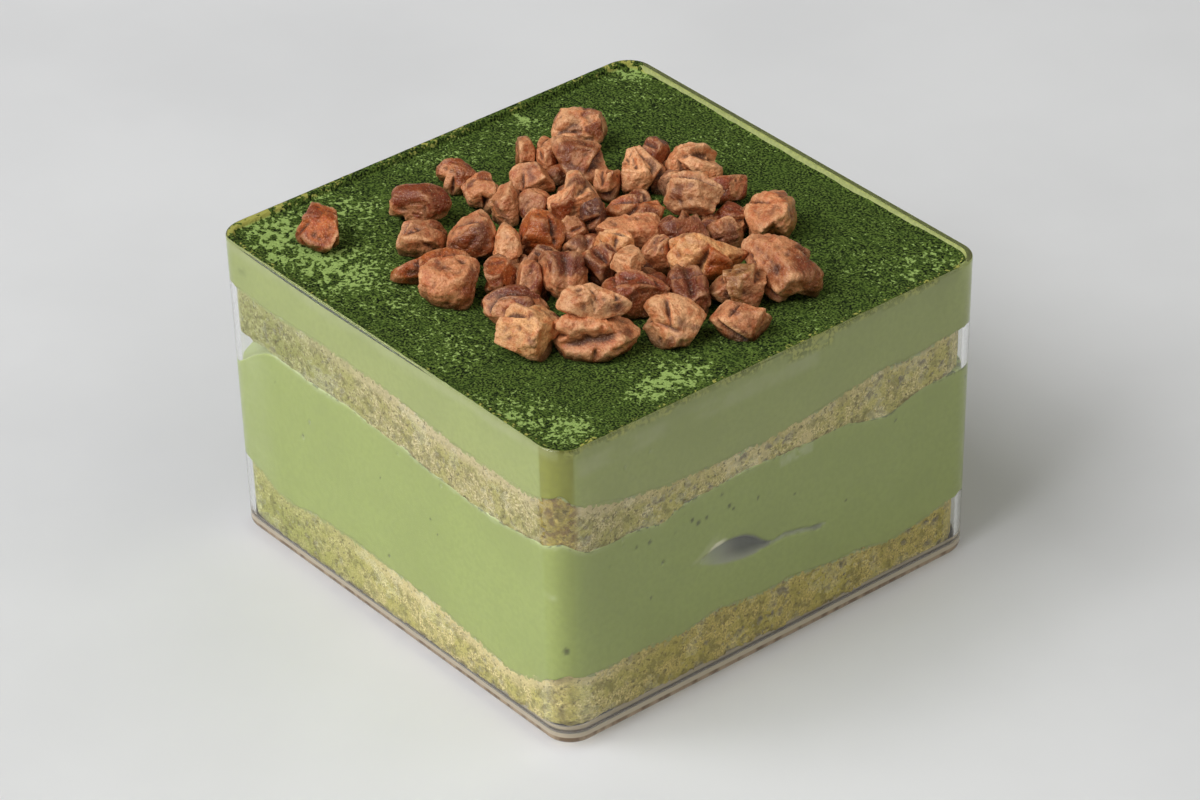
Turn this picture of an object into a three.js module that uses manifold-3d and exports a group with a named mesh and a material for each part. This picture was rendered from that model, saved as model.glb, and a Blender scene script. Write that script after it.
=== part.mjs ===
// A square layered cream cake in its open clear box: two sponge layers, two cream layers,
// a dusting of green powder and a pile of chopped nuts.
// Millimetres, +Z up, origin at the middle of the box's underside.
// The front is the -Y side and the right is the +X side.
import * as THREE from "three";
import { mergeVertices } from "three/addons/utils/BufferGeometryUtils.js";
import Module from "manifold-3d";

const wasm = await Module();
wasm.setup();

// ---- Driving dimensions ----

const BOX = {
  rimSide: 85,
  baseSide: 83.6,
  height: 55,
  cornerRadius: 4.6,
  wall: 1,
  floorTop: 2.4,
  floorUnder: 1.1,
  underRounding: 1.6,
  insideRounding: 0.8,
  footSide: 79.2,
  footWidth: 1.4,
  footRadius: 3.2,
};

const WALL_GAP = 0.15;
const LAYER_GAP = 0.42;
const POWDER_THICKNESS = 0.5;
const SPONGE_CORNER_RADIUS = 7.5;
const SPONGE_EDGE = 0.9;
const CREAM_EDGE = 0.3;
const INNER_RINGS = [0.45, 0.85];

// Heights of the layers' boundaries against the box wall, at the four corners and four
// even stations between them: front from the left, right side, back, left side.
const SHEETS = {
  powderTop: {
    front: [54.4, 53.7, 53.9, 54.3, 54.5],
    right: [54.5, 54.3, 54.2, 54.3, 54.4],
    back: [54.2, 54.0, 53.9, 54.0, 53.9],
    left: [54.0, 53.9, 54.0, 54.1, 54.2],
    centre: 54.2,
  },
  upperSpongeTop: {
    front: [46.9, 46.4, 46.7, 45.6, 44.6],
    right: [46.6, 41.4, 40.3, 41.0, 42.6],
    back: [43.4, 44.5, 45.2, 44.6, 45.6],
    left: [46.2, 45.4, 46.0, 46.6, 46.3],
    centre: 45.0,
  },
  upperSpongeUnder: {
    front: [38.2, 37.7, 37.5, 36.6, 35.5],
    right: [37.6, 34.2, 35.9, 35.5, 33.8],
    back: [35.4, 36.2, 36.8, 35.6, 36.4],
    left: [37.4, 36.6, 35.8, 37.0, 37.6],
    centre: 36.5,
  },
  lowerSpongeTop: {
    front: [13.5, 11.4, 12.2, 11.6, 9.5],
    right: [13.6, 12.6, 12.5, 11.6, 9.7],
    back: [11.7, 12.4, 11.0, 12.2, 11.4],
    left: [12.8, 11.8, 12.6, 11.2, 12.0],
    centre: 11.8,
  },
};

// The thick cream falls away from the upper sponge at the front left corner.
const CORNER_DIP = { depth: 7.4, reach: 7.5 };

// A shallow lens of air in the thick cream, against the right wall.
const AIR_POCKET = { y: -9.7, z: 23.1, halfLength: 7.7, halfHeight: 2.7, depth: 2.4, slope: -15 };

// Kinds of nut piece. edge is how sharp its broken faces meet, groove how deep the furrow
// along its back is, and taper how much thinner its far end is, as shares of its size.
const KINDS = {
  chunk: { edge: 11, groove: 0.06, taper: 0.12 },
  skin: { edge: 3.6, groove: 0.2, taper: 0.1 },
  half: { edge: 3.4, groove: 0.45, taper: 0.05 },
  wedge: { edge: 8, groove: 0.1, taper: 0.5 },
  stub: { edge: 6, groove: 0.04, taper: 0.22 },
};

// The pieces in the order they settle: x and y of the middle, length, width, height,
// turn of the length from +X and lean of its far end in degrees, and kind.
const NUTS = [
  [-29.7, -31.1, 7.6, 6.2, 5.4, 5, 0, "skin"],
  [-28.2, -4.8, 6.0, 5.4, 5.0, 50, 0, "skin"],
  [-22.0, -5.4, 6.0, 5.2, 4.8, 30, 0, "skin"],
  [-24.3, -15.5, 8.4, 6.4, 6.2, 45, 0, "chunk"],
  [-16.8, -21.1, 8.4, 5.8, 5.8, 50, 0, "chunk"],
  [-9.6, -24.8, 11.0, 4.6, 4.6, 52, 0, "skin"],
  [-3.0, -26.0, 8.4, 6.6, 6.6, 48, 0, "chunk"],
  [-11.3, -16.2, 6.6, 6.0, 6.6, 50, 0, "chunk"],
  [-7.0, -14.4, 6.6, 3.8, 6.0, -39, -20, "chunk"],
  [-16.0, -5.5, 6.2, 4.2, 5.8, -39, 0, "chunk"],
  [-13.4, -2.4, 4.8, 4.2, 4.8, 50, 0, "skin"],
  [-18.6, 2.2, 5.8, 4.8, 5.8, 50, 0, "chunk"],
  [-25.9, 6.6, 5.6, 3.6, 5.2, -39, 0, "chunk"],
  [-23.5, 9.4, 6.2, 3.2, 5.6, -39, 0, "skin"],
  [-25.4, 18.0, 8.2, 5.6, 6.2, 46, 0, "chunk"],
  [-17.5, 10.4, 8.6, 6.8, 7.6, 50, 0, "chunk"],
  [-8.9, 2.0, 7.8, 6.6, 7.2, 50, 0, "chunk"],
  [-11.2, 10.8, 4.6, 3.8, 5.6, -20, 0, "skin"],
  [-9.4, 14.8, 6.6, 6.0, 7.0, 40, 0, "chunk"],
  [-11.7, 21.8, 5.6, 3.7, 5.6, -39, -15, "skin"],
  [-6.2, 18.6, 4.4, 3.6, 4.8, 60, 0, "chunk"],
  [-5.2, 24.4, 8.2, 6.2, 7.0, 50, 0, "chunk"],
  [3.3, 24.2, 5.6, 4.0, 4.6, 60, 16, "wedge"],
  [10.5, 18.5, 5.4, 4.6, 4.4, 20, 0, "chunk"],
  [14.5, 22.9, 9.6, 6.6, 6.2, -25, 0, "chunk"],
  [26.6, 13.6, 14.0, 7.4, 7.0, 176, 4, "wedge"],
  [-0.5, 7.4, 11.0, 4.4, 5.4, 50, 0, "half"],
  [3.6, 3.9, 9.4, 4.8, 6.0, 50, 0, "chunk"],
  [9.3, 9.4, 6.8, 6.0, 6.2, 50, 0, "skin"],
  [12.1, 15.0, 5.0, 4.2, 5.6, 50, 0, "chunk"],
  [18.9, 9.1, 11.0, 6.4, 7.2, 46, 0, "wedge"],
  [22.2, 0.0, 10.2, 5.0, 5.4, -32, 0, "half"],
  [27.8, 5.8, 8.6, 6.0, 6.4, 50, 0, "skin"],
  [33.8, 0.9, 8.6, 5.2, 4.6, 56, 0, "chunk"],
  [28.0, -8.6, 8.8, 6.2, 6.6, 50, 0, "stub"],
  [18.9, -6.7, 11.2, 6.2, 6.0, 50, 0, "half"],
  [11.8, 2.8, 4.8, 4.4, 6.2, 50, 0, "chunk"],
  [8.6, -5.7, 6.2, 5.6, 6.0, 50, 0, "skin"],
  [5.3, -1.3, 5.6, 4.4, 6.2, 50, 0, "chunk"],
  [6.2, -12.0, 9.2, 6.2, 6.8, -30, 0, "half"],
  [0.6, -11.4, 4.0, 3.4, 4.6, 40, 0, "skin"],
  [-5.8, -8.8, 6.6, 6.0, 6.6, 50, 0, "skin"],
  [-3.3, -4.4, 3.9, 3.8, 5.6, 50, 0, "chunk"],
  [-0.8, -1.0, 4.4, 3.2, 6.2, -39, 0, "skin"],
  [-0.9, -20.4, 4.8, 4.8, 5.2, 50, 0, "skin"],
  [2.7, -16.6, 6.0, 3.6, 6.0, -39, -15, "chunk"],
  [8.7, -22.4, 9.2, 5.6, 5.2, 52, 0, "half"],
  [16.0, -26.4, 8.8, 7.4, 6.8, 30, 0, "chunk"],
  [23.0, -19.6, 11.6, 6.8, 6.4, 52, 0, "chunk"],
  [22.4, -19.0, 10.0, 4.8, 3.6, 50, 0, "chunk"],
  [4.7, 16.0, 9.2, 7.2, 6.4, 30, 8, "chunk"],
  [13.7, -4.7, 5.0, 4.2, 4.0, 20, 10, "chunk"],
];

// The last pieces lie on top of the others and don't slide.
const TOP_PIECES = 3;

// How a piece is broken: its number of faces, how unevenly they point, how near the nearest
// one is to the middle beside the furthest, and how wide the furrow is.
const NUT_FACETS = 12;
const FACET_JITTER = 0.7;
const NEAREST_FACET = 0.72;
const FURROW_WIDTH = 0.28;
const NUT_COLUMNS = 12;
const NUT_ROWS = 7;

// How pieces settle: the gap they keep, how far they may slide, how much lift one
// millimetre of sliding is worth, and the cells of the map that they settle on.
const NUT_REST_GAP = 0.25;
const NUT_SLIDE = 2.4;
const SLIDE_COST = 0.4;
const SETTLE_CELL = 0.25;
const CELL_SLACK = 0.02;

const COLOURS = {
  clear: 0xf2f6f2,
  sponge: 0xc3b98a,
  cream: 0xa7b370,
  topCream: 0xafb882,
  powder: 0x3f6a26,
  nutFlesh: 0xb98257,
  nutSkin: 0x97592f,
};

// ---- Rounded squares and sheets ----

const CORNER_STEPS = 4;
const SIDE_STEPS = 8;
const QUARTER_STEPS = CORNER_STEPS + SIDE_STEPS;
const COLUMNS = 4 * QUARTER_STEPS;

// A point of a square with rounded corners. Column 0 starts the front left corner's arc,
// and the columns run anticlockwise seen from above.
function squarePoint(column, side, radius) {
  const quarter = Math.floor(column / QUARTER_STEPS);
  const step = column % QUARTER_STEPS;
  const straight = side / 2 - radius;
  const arc = (Math.min(step, CORNER_STEPS) / CORNER_STEPS) * (Math.PI / 2) + Math.PI;
  const along = (Math.max(step - CORNER_STEPS, 0) / SIDE_STEPS) * 2 * straight;
  const x = -straight + radius * Math.cos(arc) + along;
  const y = -straight + radius * Math.sin(arc);
  const turn = (quarter * Math.PI) / 2;
  return [
    x * Math.cos(turn) - y * Math.sin(turn),
    x * Math.sin(turn) + y * Math.cos(turn),
  ];
}

function squareLoop(side, radius, height) {
  return Array.from({ length: COLUMNS }, (_, column) => {
    const [x, y] = squarePoint(column, side, radius);
    return [x, y, typeof height === "function" ? height(x, y) : height];
  });
}

// The side of the box's inner wall at a height, from its draft.
function innerSide(z) {
  const share = z / BOX.height;
  return BOX.baseSide + (BOX.rimSide - BOX.baseSide) * share - 2 * BOX.wall;
}

// How far round the square a point lies, from 0 to 4, one for each side.
function turnsRound(x, y) {
  const reach = Math.max(Math.abs(x), Math.abs(y), 1e-9);
  const u = x / reach;
  const v = y / reach;
  if (v <= -1 + 1e-12 && u < 1) return (u + 1) / 2;
  if (u >= 1 - 1e-12 && v < 1) return 1 + (v + 1) / 2;
  if (v >= 1 - 1e-12 && u > -1) return 2 + (1 - u) / 2;
  return 3 + (1 - v) / 2;
}

// A boundary's height: a smooth closed curve through its stations at the wall, which
// flattens to the height of its middle.
function sheetHeight(sheet, x, y) {
  const stations = [...sheet.front, ...sheet.right, ...sheet.back, ...sheet.left];
  const count = stations.length;
  const place = (turnsRound(x, y) / 4) * count;
  const first = Math.floor(place);
  const t = place - first;
  const at = (k) => stations[(first + k + count) % count];
  const [a, b, c, d] = [at(-1), at(0), at(1), at(2)];
  const bend = 2 * a - 5 * b + 4 * c - d + (3 * b - a - 3 * c + d) * t;
  const edge = b + 0.5 * t * (c - a + t * bend);
  const share = Math.min(1, Math.max(Math.abs(x), Math.abs(y)) / (innerSide(BOX.height) / 2));
  return sheet.centre + (edge - sheet.centre) * share * share;
}

// ---- Solids from loops ----

// Joins loops of points with bands of triangles and closes both ends at their middles.
// The loops run anticlockwise seen from the end that the last one is at.
function loft(loops) {
  const points = loops.flat();
  const faces = [];
  const columns = loops[0].length;
  for (let row = 0; row + 1 < loops.length; row++) {
    for (let column = 0; column < columns; column++) {
      const next = (column + 1) % columns;
      const a = row * columns + column;
      const b = row * columns + next;
      const c = a + columns;
      const d = b + columns;
      faces.push(a, b, d, a, d, c);
    }
  }
  const lastRow = (loops.length - 1) * columns;
  for (const [start, flip] of [[0, true], [lastRow, false]]) {
    const loop = points.slice(start, start + columns);
    const middle = points.push(loop.reduce(addPoints).map((v) => v / columns)) - 1;
    for (let column = 0; column < columns; column++) {
      const a = start + column;
      const b = start + ((column + 1) % columns);
      faces.push(middle, ...(flip ? [b, a] : [a, b]));
    }
  }
  return geometryFrom(points, faces);
}

function addPoints(a, b) {
  return a.map((v, axis) => v + b[axis]);
}

function geometryFrom(points, faces) {
  const geometry = new THREE.BufferGeometry();
  geometry.setAttribute("position", new THREE.Float32BufferAttribute(points.flat(), 3));
  geometry.setIndex(faces);
  geometry.computeVertexNormals();
  return geometry;
}

function mesh(name, geometry, colour, roughness, extra = {}) {
  const material = new THREE.MeshStandardMaterial({ color: colour, roughness, metalness: 0, ...extra });
  const made = new THREE.Mesh(geometry, material);
  made.name = name;
  return made;
}

// ---- The clear box ----

// The wall's section from the middle of the underside, round the foot, up the outside,
// over the rim and down the inside to the floor.
function clearBox() {
  const draftSide = (z) => innerSide(z) + 2 * BOX.wall;
  const footInner = BOX.footSide - 2 * BOX.footWidth;
  const loops = [
    squareLoop(footInner, BOX.footRadius - BOX.footWidth, BOX.floorUnder),
    squareLoop(footInner, BOX.footRadius - BOX.footWidth, 0),
    squareLoop(BOX.footSide, BOX.footRadius, 0),
    squareLoop(BOX.footSide, BOX.footRadius, BOX.floorUnder),
  ];
  const roundingSteps = 3;
  for (let step = 0; step <= roundingSteps; step++) {
    const angle = (step / roundingSteps) * (Math.PI / 2);
    const inset = BOX.underRounding * (1 - Math.sin(angle));
    const z = BOX.floorUnder + BOX.underRounding * (1 - Math.cos(angle));
    loops.push(squareLoop(draftSide(z) - 2 * inset, BOX.cornerRadius - inset * 0.5, z));
  }
  const innerRadius = BOX.cornerRadius - BOX.wall;
  loops.push(squareLoop(BOX.rimSide, BOX.cornerRadius, BOX.height));
  loops.push(squareLoop(BOX.rimSide - 2 * BOX.wall, innerRadius, BOX.height));
  const kneeHeight = BOX.floorTop + BOX.insideRounding;
  const floorSide = innerSide(BOX.floorTop) - 2 * BOX.insideRounding;
  loops.push(squareLoop(innerSide(kneeHeight), innerRadius, kneeHeight));
  loops.push(squareLoop(floorSide, innerRadius - BOX.insideRounding, BOX.floorTop));
  const geometry = loft(loops);
  return mesh("clear_box", geometry, COLOURS.clear, 0.05, { transparent: true, opacity: 0.3 });
}

// ---- The cake's layers ----

// A layer between two heights, each a function of x and y, with its upper and lower edges
// rounded off by edge. Rings inside the edges carry the waves of the boundaries inwards,
// and neighbours share them, so that their faces run side by side.
function layer(name, lower, upper, edge, radius, colour, roughness) {
  const wallLoop = (height, inset, offset) => {
    const side = innerSide(height(0, 0)) - 2 * WALL_GAP - 2 * inset;
    return squareLoop(side, Math.max(radius - inset, 0.5), (x, y) => height(x, y) + offset);
  };
  const innerRings = (height) => INNER_RINGS.map((share) => {
    return squareLoop(BOX.baseSide * share, SPONGE_CORNER_RADIUS * share, height);
  });
  const loops = [
    ...innerRings(lower),
    wallLoop(lower, edge, 0),
    wallLoop(lower, 0, edge),
    wallLoop(upper, 0, -edge),
    wallLoop(upper, edge, 0),
    ...innerRings(upper).reverse(),
  ];
  return mesh(name, loft(loops), colour, roughness);
}

function solidOf(geometry) {
  const bare = geometry.clone();
  bare.deleteAttribute("normal");
  bare.deleteAttribute("uv");
  const merged = mergeVertices(bare, 1e-4);
  const vertProperties = merged.attributes.position.array;
  const triVerts = new Uint32Array(merged.index.array);
  return new wasm.Manifold(new wasm.Mesh({ numProp: 3, vertProperties, triVerts }));
}

function geometryOf(solid) {
  const { vertProperties, triVerts } = solid.getMesh();
  const geometry = new THREE.BufferGeometry();
  geometry.setAttribute("position", new THREE.BufferAttribute(vertProperties, 3));
  geometry.setIndex(new THREE.BufferAttribute(triVerts, 1));
  geometry.computeVertexNormals();
  return geometry;
}

// The lens of air, as a flattened ball half sunk in the cream's right side.
function airPocket() {
  const pocket = new THREE.SphereGeometry(1, 20, 12);
  pocket.scale(AIR_POCKET.depth, AIR_POCKET.halfLength, AIR_POCKET.halfHeight);
  pocket.rotateX(THREE.MathUtils.degToRad(AIR_POCKET.slope));
  const x = innerSide(AIR_POCKET.z) / 2 - WALL_GAP;
  pocket.translate(x, AIR_POCKET.y, AIR_POCKET.z);
  return pocket;
}

function cornerDip(x, y) {
  const corner = innerSide(BOX.height) / 2;
  const away = Math.hypot(x + corner, y + corner);
  return CORNER_DIP.depth * Math.exp(-((away / CORNER_DIP.reach) ** 2));
}

function cakeLayers() {
  const boundary = (name, offset = 0) => (x, y) => sheetHeight(SHEETS[name], x, y) + offset;
  const creamRadius = BOX.cornerRadius - BOX.wall - WALL_GAP;
  const floor = () => BOX.floorTop + LAYER_GAP;
  const powderUnder = boundary("powderTop", -POWDER_THICKNESS);
  const creamTop = (x, y) => boundary("upperSpongeUnder", -LAYER_GAP)(x, y) - cornerDip(x, y);

  const lowerSponge = layer("lower_sponge", floor, boundary("lowerSpongeTop", -LAYER_GAP),
    SPONGE_EDGE, SPONGE_CORNER_RADIUS, COLOURS.sponge, 0.9);
  const middleCream = layer("middle_cream", boundary("lowerSpongeTop"), creamTop,
    CREAM_EDGE, creamRadius, COLOURS.cream, 0.5);
  middleCream.geometry = geometryOf(solidOf(middleCream.geometry).subtract(solidOf(airPocket())));
  const upperSponge = layer("upper_sponge", boundary("upperSpongeUnder"),
    boundary("upperSpongeTop", -LAYER_GAP), SPONGE_EDGE, SPONGE_CORNER_RADIUS, COLOURS.sponge, 0.9);
  const topCream = layer("top_cream", boundary("upperSpongeTop"),
    (x, y) => powderUnder(x, y) - LAYER_GAP, CREAM_EDGE, creamRadius, COLOURS.topCream, 0.5);
  const powder = layer("green_powder", powderUnder, boundary("powderTop"),
    POWDER_THICKNESS / 3, creamRadius, COLOURS.powder, 1);
  return [lowerSponge, middleCream, upperSponge, topCream, powder];
}

// ---- The nuts ----

// A repeatable number from 0 to 1 for a piece and a counter.
function draw(seed, counter) {
  const wave = Math.sin(seed * 127.1 + counter * 311.7) * 43758.5453;
  return wave - Math.floor(wave);
}

// The broken faces of one piece: directions spread evenly over a ball and jittered, each
// with its distance from the middle. The first face looks down, so that the piece lies flat.
function nutFacets(seed) {
  const goldenTurn = Math.PI * (3 - Math.sqrt(5));
  return Array.from({ length: NUT_FACETS }, (_, k) => {
    const z = -1 + (2 * k) / (NUT_FACETS - 1);
    const ring = Math.sqrt(Math.max(0, 1 - z * z));
    const jitter = (axis) => (k ? FACET_JITTER * (draw(seed, 10 * k + axis) - 0.5) : 0);
    const turn = k * goldenTurn + 2 * Math.PI * draw(seed, 1);
    const x = ring * Math.cos(turn) + jitter(2);
    const y = ring * Math.sin(turn) + jitter(3);
    const facing = new THREE.Vector3(x, y, z + jitter(4)).normalize();
    const distance = NEAREST_FACET + (1 - NEAREST_FACET) * draw(seed, 10 * k + 5);
    return { facing, distance };
  });
}

// A closed skin round the long axis. Its distance from the middle blends the facets' planes,
// and then the furrow, the taper and a little unevenness are worked in.
function nutGeometry(seed, length, width, height, kind) {
  const { edge, groove, taper } = KINDS[kind];
  const facets = nutFacets(seed);
  const points = [];
  const add = (row, column) => {
    const polar = (row / NUT_ROWS) * Math.PI;
    const around = (column / NUT_COLUMNS) * 2 * Math.PI;
    const way = new THREE.Vector3(
      Math.cos(polar),
      Math.sin(polar) * Math.cos(around),
      Math.sin(polar) * Math.sin(around),
    );
    const pull = facets.reduce((sum, { facing, distance }) => {
      return sum + Math.max(0, facing.dot(way) / distance) ** edge;
    }, 0);
    const furrow = groove * Math.exp(-((way.y / FURROW_WIDTH) ** 2)) * Math.max(0, way.z);
    way.multiplyScalar(pull ** (-1 / edge) * (1 - furrow));
    const thin = 1 - taper * (1 + way.x) * 0.5;
    points.push([way.x, way.y * thin, way.z * thin]);
  };
  add(0, 0);
  for (let row = 1; row < NUT_ROWS; row++) {
    for (let column = 0; column < NUT_COLUMNS; column++) add(row, column);
  }
  add(NUT_ROWS, 0);
  fitToBox(points, [length, width, height]);
  return geometryFrom(points, ballFaces(NUT_ROWS, NUT_COLUMNS));
}

// Stretches points so that they fill a box of these sizes about the origin.
function fitToBox(points, sizes) {
  sizes.forEach((size, axis) => {
    const values = points.map((p) => p[axis]);
    const low = Math.min(...values);
    const high = Math.max(...values);
    points.forEach((p) => {
      p[axis] = ((p[axis] - low) / (high - low) - 0.5) * size;
    });
  });
}

// Triangles of a ball whose poles are its first and last points.
function ballFaces(rows, columns) {
  const faces = [];
  const last = (rows - 1) * columns + 1;
  for (let column = 0; column < columns; column++) {
    const next = (column + 1) % columns;
    faces.push(0, 1 + column, 1 + next);
    for (let row = 0; row + 2 < rows; row++) {
      const a = 1 + row * columns + column;
      const b = 1 + row * columns + next;
      faces.push(a, a + columns, b + columns, a, b + columns, b);
    }
    const start = 1 + (rows - 2) * columns;
    faces.push(last, start + next, start + column);
  }
  return faces;
}

// A map of heights over the cake, a grid of small cells. Each piece is set down on it and
// then becomes part of it.
class Pile {
  constructor(ground) {
    this.count = Math.ceil(BOX.rimSide / SETTLE_CELL);
    this.top = Float64Array.from({ length: this.count ** 2 }, (_, key) => {
      return ground(this.middle(Math.floor(key / this.count)), this.middle(key % this.count));
    });
  }

  middle(i) {
    return (i + 0.5) * SETTLE_CELL - BOX.rimSide / 2;
  }

  // The cells that a placed mesh covers, with its lowest and highest point over each.
  cells(placed) {
    const found = new Map();
    const position = placed.geometry.attributes.position;
    const index = placed.geometry.index.array;
    const corner = (k) => {
      return new THREE.Vector3().fromBufferAttribute(position, k).applyMatrix4(placed.matrixWorld);
    };
    for (let face = 0; face < index.length; face += 3) {
      this.coverTriangle(found, ...[0, 1, 2].map((k) => corner(index[face + k])));
    }
    return [...found.values()];
  }

  coverTriangle(found, a, b, c) {
    const cellOf = (v) => Math.floor((v + BOX.rimSide / 2) / SETTLE_CELL);
    const area = (b.x - a.x) * (c.y - a.y) - (c.x - a.x) * (b.y - a.y);
    if (Math.abs(area) < 1e-9) return;
    for (let i = cellOf(Math.min(a.x, b.x, c.x)); i <= cellOf(Math.max(a.x, b.x, c.x)); i++) {
      for (let j = cellOf(Math.min(a.y, b.y, c.y)); j <= cellOf(Math.max(a.y, b.y, c.y)); j++) {
        const x = this.middle(i);
        const y = this.middle(j);
        const v = ((x - a.x) * (c.y - a.y) - (c.x - a.x) * (y - a.y)) / area;
        const w = ((b.x - a.x) * (y - a.y) - (x - a.x) * (b.y - a.y)) / area;
        if (Math.min(v, w, 1 - v - w) < -CELL_SLACK) continue;
        const z = a.z + v * (b.z - a.z) + w * (c.z - a.z);
        const key = i * this.count + j;
        const { low, high } = found.get(key) ?? { low: z, high: z };
        found.set(key, { i, j, low: Math.min(low, z), high: Math.max(high, z) });
      }
    }
  }

  // How far the cells have to rise, when shifted by whole cells, to clear what lies below
  // them and one cell to each side.
  rise(cells, shiftI, shiftJ) {
    let rise = -Infinity;
    for (const { i, j, low } of cells) {
      for (let di = shiftI - 1; di <= shiftI + 1; di++) {
        for (let dj = shiftJ - 1; dj <= shiftJ + 1; dj++) {
          rise = Math.max(rise, this.top[(i + di) * this.count + j + dj] - low);
        }
      }
    }
    return rise;
  }

  // Sets a mesh down where it rests lowest within a short slide of its place.
  settle(placed, slide) {
    placed.updateMatrixWorld(true);
    const cells = this.cells(placed);
    const reach = Math.floor(slide / SETTLE_CELL);
    let best = { cost: Infinity };
    for (let di = -reach; di <= reach; di++) {
      for (let dj = -reach; dj <= reach; dj++) {
        const distance = Math.hypot(di, dj) * SETTLE_CELL;
        if (distance > slide) continue;
        const rise = this.rise(cells, di, dj);
        const cost = rise + SLIDE_COST * distance;
        if (cost < best.cost) best = { cost, rise, di, dj };
      }
    }
    const lift = best.rise + NUT_REST_GAP;
    placed.position.x += best.di * SETTLE_CELL;
    placed.position.y += best.dj * SETTLE_CELL;
    placed.position.z += lift;
    for (const { i, j, high } of cells) {
      const key = (i + best.di) * this.count + j + best.dj;
      this.top[key] = Math.max(this.top[key], high + lift);
    }
  }
}

function nutPieces() {
  const pile = new Pile((x, y) => sheetHeight(SHEETS.powderTop, x, y));
  return NUTS.map(([x, y, length, width, height, turn, lean, kind], k) => {
    const name = "nut_" + String(k + 1).padStart(2, "0");
    const geometry = nutGeometry(k + 1, length, width, height, kind);
    const colour = KINDS[kind].edge < 5 ? COLOURS.nutSkin : COLOURS.nutFlesh;
    const nut = mesh(name, geometry, colour, 0.7);
    nut.rotation.order = "ZYX";
    nut.rotation.z = THREE.MathUtils.degToRad(turn);
    nut.rotation.y = THREE.MathUtils.degToRad(-lean);
    nut.position.set(x, y, BOX.height);
    pile.settle(nut, k < NUTS.length - TOP_PIECES ? NUT_SLIDE : 0);
    return nut;
  });
}

const cake = new THREE.Group();
cake.add(clearBox(), ...cakeLayers(), ...nutPieces());

export default cake;
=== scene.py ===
# A square layered cream cake in its clear box, with green powder and chopped nuts on top.
# Sizes are in millimetres until a mesh is made. The front is -Y and the right is +X.
import math

import bpy
import numpy as np
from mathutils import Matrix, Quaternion, Vector


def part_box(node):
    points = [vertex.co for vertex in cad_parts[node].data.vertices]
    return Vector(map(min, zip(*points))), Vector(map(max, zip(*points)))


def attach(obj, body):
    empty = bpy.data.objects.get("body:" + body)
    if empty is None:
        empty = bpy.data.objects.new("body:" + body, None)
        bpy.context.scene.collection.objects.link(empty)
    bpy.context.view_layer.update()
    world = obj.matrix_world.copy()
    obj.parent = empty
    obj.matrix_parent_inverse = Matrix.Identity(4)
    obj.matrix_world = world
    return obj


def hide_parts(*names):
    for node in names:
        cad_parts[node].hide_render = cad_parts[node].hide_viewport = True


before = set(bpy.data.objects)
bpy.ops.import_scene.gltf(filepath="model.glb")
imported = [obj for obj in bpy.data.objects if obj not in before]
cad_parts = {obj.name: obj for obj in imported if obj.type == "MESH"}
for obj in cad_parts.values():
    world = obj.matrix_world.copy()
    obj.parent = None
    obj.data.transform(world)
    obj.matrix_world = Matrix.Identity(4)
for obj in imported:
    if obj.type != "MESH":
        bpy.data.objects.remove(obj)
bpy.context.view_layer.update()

MM = 0.001
BODY = "root"


def size_of(node):
    """Lowest and highest corner of a solid, in millimetres."""
    low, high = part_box(node)
    return np.array(low) / MM, np.array(high) / MM


def add_object(name, data):
    """A new object in the scene that holds the data."""
    thing = bpy.data.objects.new(name, data)
    bpy.context.scene.collection.objects.link(thing)
    return thing


def way_back(azimuth, elevation):
    """Direction towards a place at an azimuth, counted from the front, and an elevation."""
    turn, rise = math.radians(azimuth), math.radians(elevation)
    return Vector((math.sin(turn) * math.cos(rise), -math.cos(turn) * math.cos(rise), math.sin(rise)))


# ---- Camera ----

CAMERA_AZIMUTH = 51.14
CAMERA_ELEVATION = 33.22
CAMERA_ROLL = -1.33
CAMERA_DISTANCE = 0.7844
CAMERA_AIM = Vector((0.0005, -0.0005, 0.0264))
CAMERA_LENS = 148.87
CAMERA_SENSOR = 36


def make_camera():
    """The camera stands back from its aim and is rolled about its own axis."""
    back = way_back(CAMERA_AZIMUTH, CAMERA_ELEVATION)
    data = bpy.data.cameras.new("camera")
    data.lens = CAMERA_LENS
    data.sensor_width = CAMERA_SENSOR
    data.clip_start, data.clip_end = 0.01, 10
    camera = add_object("camera", data)
    camera.location = CAMERA_AIM + back * CAMERA_DISTANCE
    camera.rotation_mode = "QUATERNION"
    roll = Quaternion((0, 0, 1), math.radians(CAMERA_ROLL))
    camera.rotation_quaternion = (-back).to_track_quat("-Z", "Y") @ roll
    bpy.context.scene.camera = camera


make_camera()

# ---- Noise on whole arrays ----


def hashed(cell, seed):
    """One repeatable number from 0 to 1 for each whole-number cell, by mixing its bits."""
    cell = cell.astype(np.int64)
    h = cell[..., 0] * 374761393 + cell[..., 1] * 668265263 + cell[..., 2] * 1440662683
    h = (h + seed * 1013904223) & 0xFFFFFFFF
    h = ((h ^ (h >> 13)) * 1274126177) & 0xFFFFFFFF
    h = ((h ^ (h >> 15)) * 2246822519) & 0xFFFFFFFF
    return ((h ^ (h >> 16)) & 0xFFFFFF) / 0xFFFFFF


def noise(points, cell, seed):
    """Smooth noise from -1 to 1: the values at a cell's eight corners, eased between them."""
    place = points / cell
    low = np.floor(place)
    t = place - low
    t = t * t * (3 - 2 * t)
    total = 0
    for corner in np.ndindex(2, 2, 2):
        weight = np.prod(np.where(corner, t, 1 - t), axis=-1)
        total = total + weight * hashed(low + corner, seed)
    return 2 * total - 1


def fractal(points, cell, octaves, seed):
    """Noise at halving cell sizes and halving strengths, added up and kept near -1 to 1."""
    total, strength = 0, 1.0
    for octave in range(octaves):
        total = total + strength * noise(points, cell / 2**octave, seed + octave)
        strength *= 0.5
    return total / 1.5


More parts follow.
